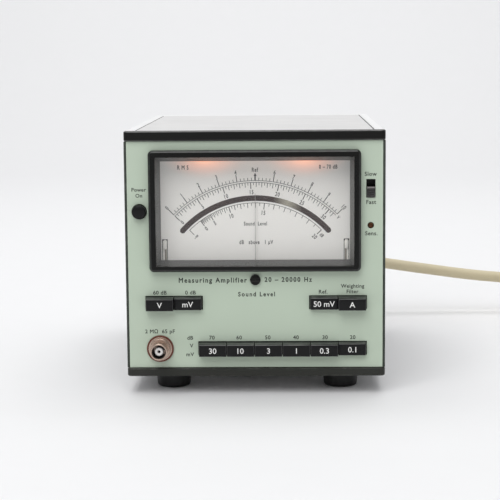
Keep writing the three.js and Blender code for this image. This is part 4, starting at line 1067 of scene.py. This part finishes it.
low, high = spread("output_socket")
out_x, out_z = (low.x + high.x) / 2, (low.z + high.z) / 2
rear_socket_work = turning(socket_profile(6.9, 1.1, 5.6, 4, 4.6, 3.7, 11, 4.5, 8), 72)
facing_back = Matrix.Translation((out_x, back_face, out_z)) @ Matrix.Rotation(math.pi, 4, "Z")
rear_socket_work.transform(facing_back)
solid("output_coaxial", rear_socket_work, nickel, crease=30, stands_for="output_socket")
pin_post = turning([(0, -2.1), (2.3, -2.1), (2.3, -9), (2, -9.3), (1, -9.3), (0.85, -9.2), (0.85, -5), (0, -5)], 40)
pin_post.transform(facing_back)
solid("output_ptfe", pin_post, ptfe, crease=35)

# ----------------------------------------
# Back. The fuse cap and the voltage selector are black mouldings with coin slots. Crosshead screws hold the rear
# tray to the rails, and small dark print names the sockets.
low, high = spread("fuse_cap")
fuse_x, fuse_z, fuse_r, fuse_out = (low.x + high.x) / 2, (low.z + high.z) / 2, (high.x - low.x) / 2, high.y
fuse_work = bmesh.new()
for upper in (1, -1):
    start = math.asin(0.8 / (fuse_r - 1))
    arc = [start + (math.pi - 2 * start) * i / 18 for i in range(19)]
    path = [(fuse_x + (fuse_r - 1) * math.cos(a), fuse_z + upper * (fuse_r - 1) * math.sin(a)) for a in arc]
    outline_solid(fuse_work, path, fuse_out - 1.5, fuse_out)
bevelled(fuse_work, 0.3, 2, over=50)
grip = []
for i in range(72):
    a = math.radians(i * 5)
    deep = fuse_r - (0.35 if i % 3 == 2 else 0)
    grip.append((fuse_x + deep * math.cos(a), fuse_z + deep * math.sin(a)))
outline_solid(fuse_work, grip, back_face + 0.4, fuse_out - 1.51)
turning([(0, low.y), (3, low.y), (3, back_face + 0.39), (0, back_face + 0.39)], 40, fuse_work,
        at=(fuse_x, 0, fuse_z))
solid("fuse_cap_moulding", fuse_work, black_moulding, "fuse_cap", crease=30, stands_for="fuse_cap")
eased("selector_drum", "voltage_selector", 0.35, black_moulding, "voltage_selector", steps=3, over=50)

screws, given, screws_end = growing_tree("tray_screws", {
    "Apart X": "Float", "Apart Z": "Float", "Centre": "Vector", "Head": "Object", "Skin": "Material"})
corners = added(screws, "GeometryNodeMeshGrid", {
    "Vertices X": 2, "Vertices Y": 2, "Size X": given["Apart X"], "Size Y": given["Apart Z"]})
stood = added(screws, "GeometryNodeTransform", {
    "Geometry": corners.outputs["Mesh"], "Translation": given["Centre"], "Rotation": (math.radians(90), 0, 0)})
head_info = added(screws, "GeometryNodeObjectInfo", {"Object": given["Head"]})
copies(screws, stood.outputs[0], head_info.outputs["Geometry"], given["Skin"], screws_end)
head_work = bmesh.new()
cross = [(0.42, 0.42), (1.7, 0.42), (1.7, -0.42), (0.42, -0.42), (0.42, -1.7), (-0.42, -1.7), (-0.42, -0.42),
         (-1.7, -0.42), (-1.7, 0.42), (-0.42, 0.42), (-0.42, 1.7), (0.42, 1.7)]
rim = [(2.9 * math.cos(math.radians(a)), 2.9 * math.sin(math.radians(a))) for a in range(0, 360, 10)]
top_rim = [head_work.verts.new((x, 0.45, z)) for x, z in rim]
low_rim = [head_work.verts.new((x * 1.06, 0.05, z * 1.06)) for x, z in rim]
recess_top = [head_work.verts.new((x, 0.45, z)) for x, z in cross]
recess_low = [head_work.verts.new((x * 0.8, 0.12, z * 0.8)) for x, z in cross]
head_work.faces.new(low_rim)
head_work.faces.new(recess_low)
for i in range(36):
    head_work.faces.new((top_rim[i], top_rim[(i + 1) % 36], low_rim[(i + 1) % 36], low_rim[i]))
for i in range(12):
    head_work.faces.new((recess_top[i], recess_top[(i + 1) % 12], recess_low[(i + 1) % 12], recess_low[i]))
rim_edges = [head_work.edges.get((ring[i], ring[(i + 1) % len(ring)])) for ring in (top_rim, recess_top)
             for i in range(len(ring))]
bmesh.ops.triangle_fill(head_work, use_beauty=True, edges=rim_edges)
bmesh.ops.recalc_face_normals(head_work, faces=head_work.faces)
head_mesh = bpy.data.meshes.new("screw_head")
head_work.to_mesh(head_mesh)
head_work.free()
head_object = bpy.data.objects.new("screw_head", head_mesh)
tray_low, tray_high = spread("rear_panel")
screw_mesh = grown(screws, {
    "Apart X": 126.0, "Apart Z": 119.0, "Centre": (0, tray_high.y, (tray_low.z + tray_high.z) / 2),
    "Head": head_object, "Skin": nickel,
})
bpy.data.objects.remove(head_object)
screw_mesh.transform(PLACE)
piece("tray_screws", soften(screw_mesh, 30), nickel)


rear_lines = [("Output", out_x, out_z + 12), ("Fuse", fuse_x, fuse_z + 11.5), ("Mains", 46, 52.5), ("Voltage", 0, 99),
              ("240", 16.5, 84), ("115", -16.5, 84), ("220", 0, 70.5)]
printed("rear_print", [(words, x, z, 2.3, 0) for words, x, z in rear_lines], tray_high.y, panel_ink,
        bold=0.006, spacing=1.06, heading=180)

# ----------------------------------------
# Inside. A glass-epoxy circuit board and a small mains transformer, both hidden by the covers.
dress("main_board", finish("glass_epoxy", paint(92, 104, 58), 0.45, shade=0.1, grain_mm=0.8, relief=0.01))
dress("transformer", finish("laminated_steel", paint(104, 104, 106), 0.5, metallic=0.6, shade=0.15, grain_mm=0.5,
                            stretch=(1, 30, 1), relief=0.04))
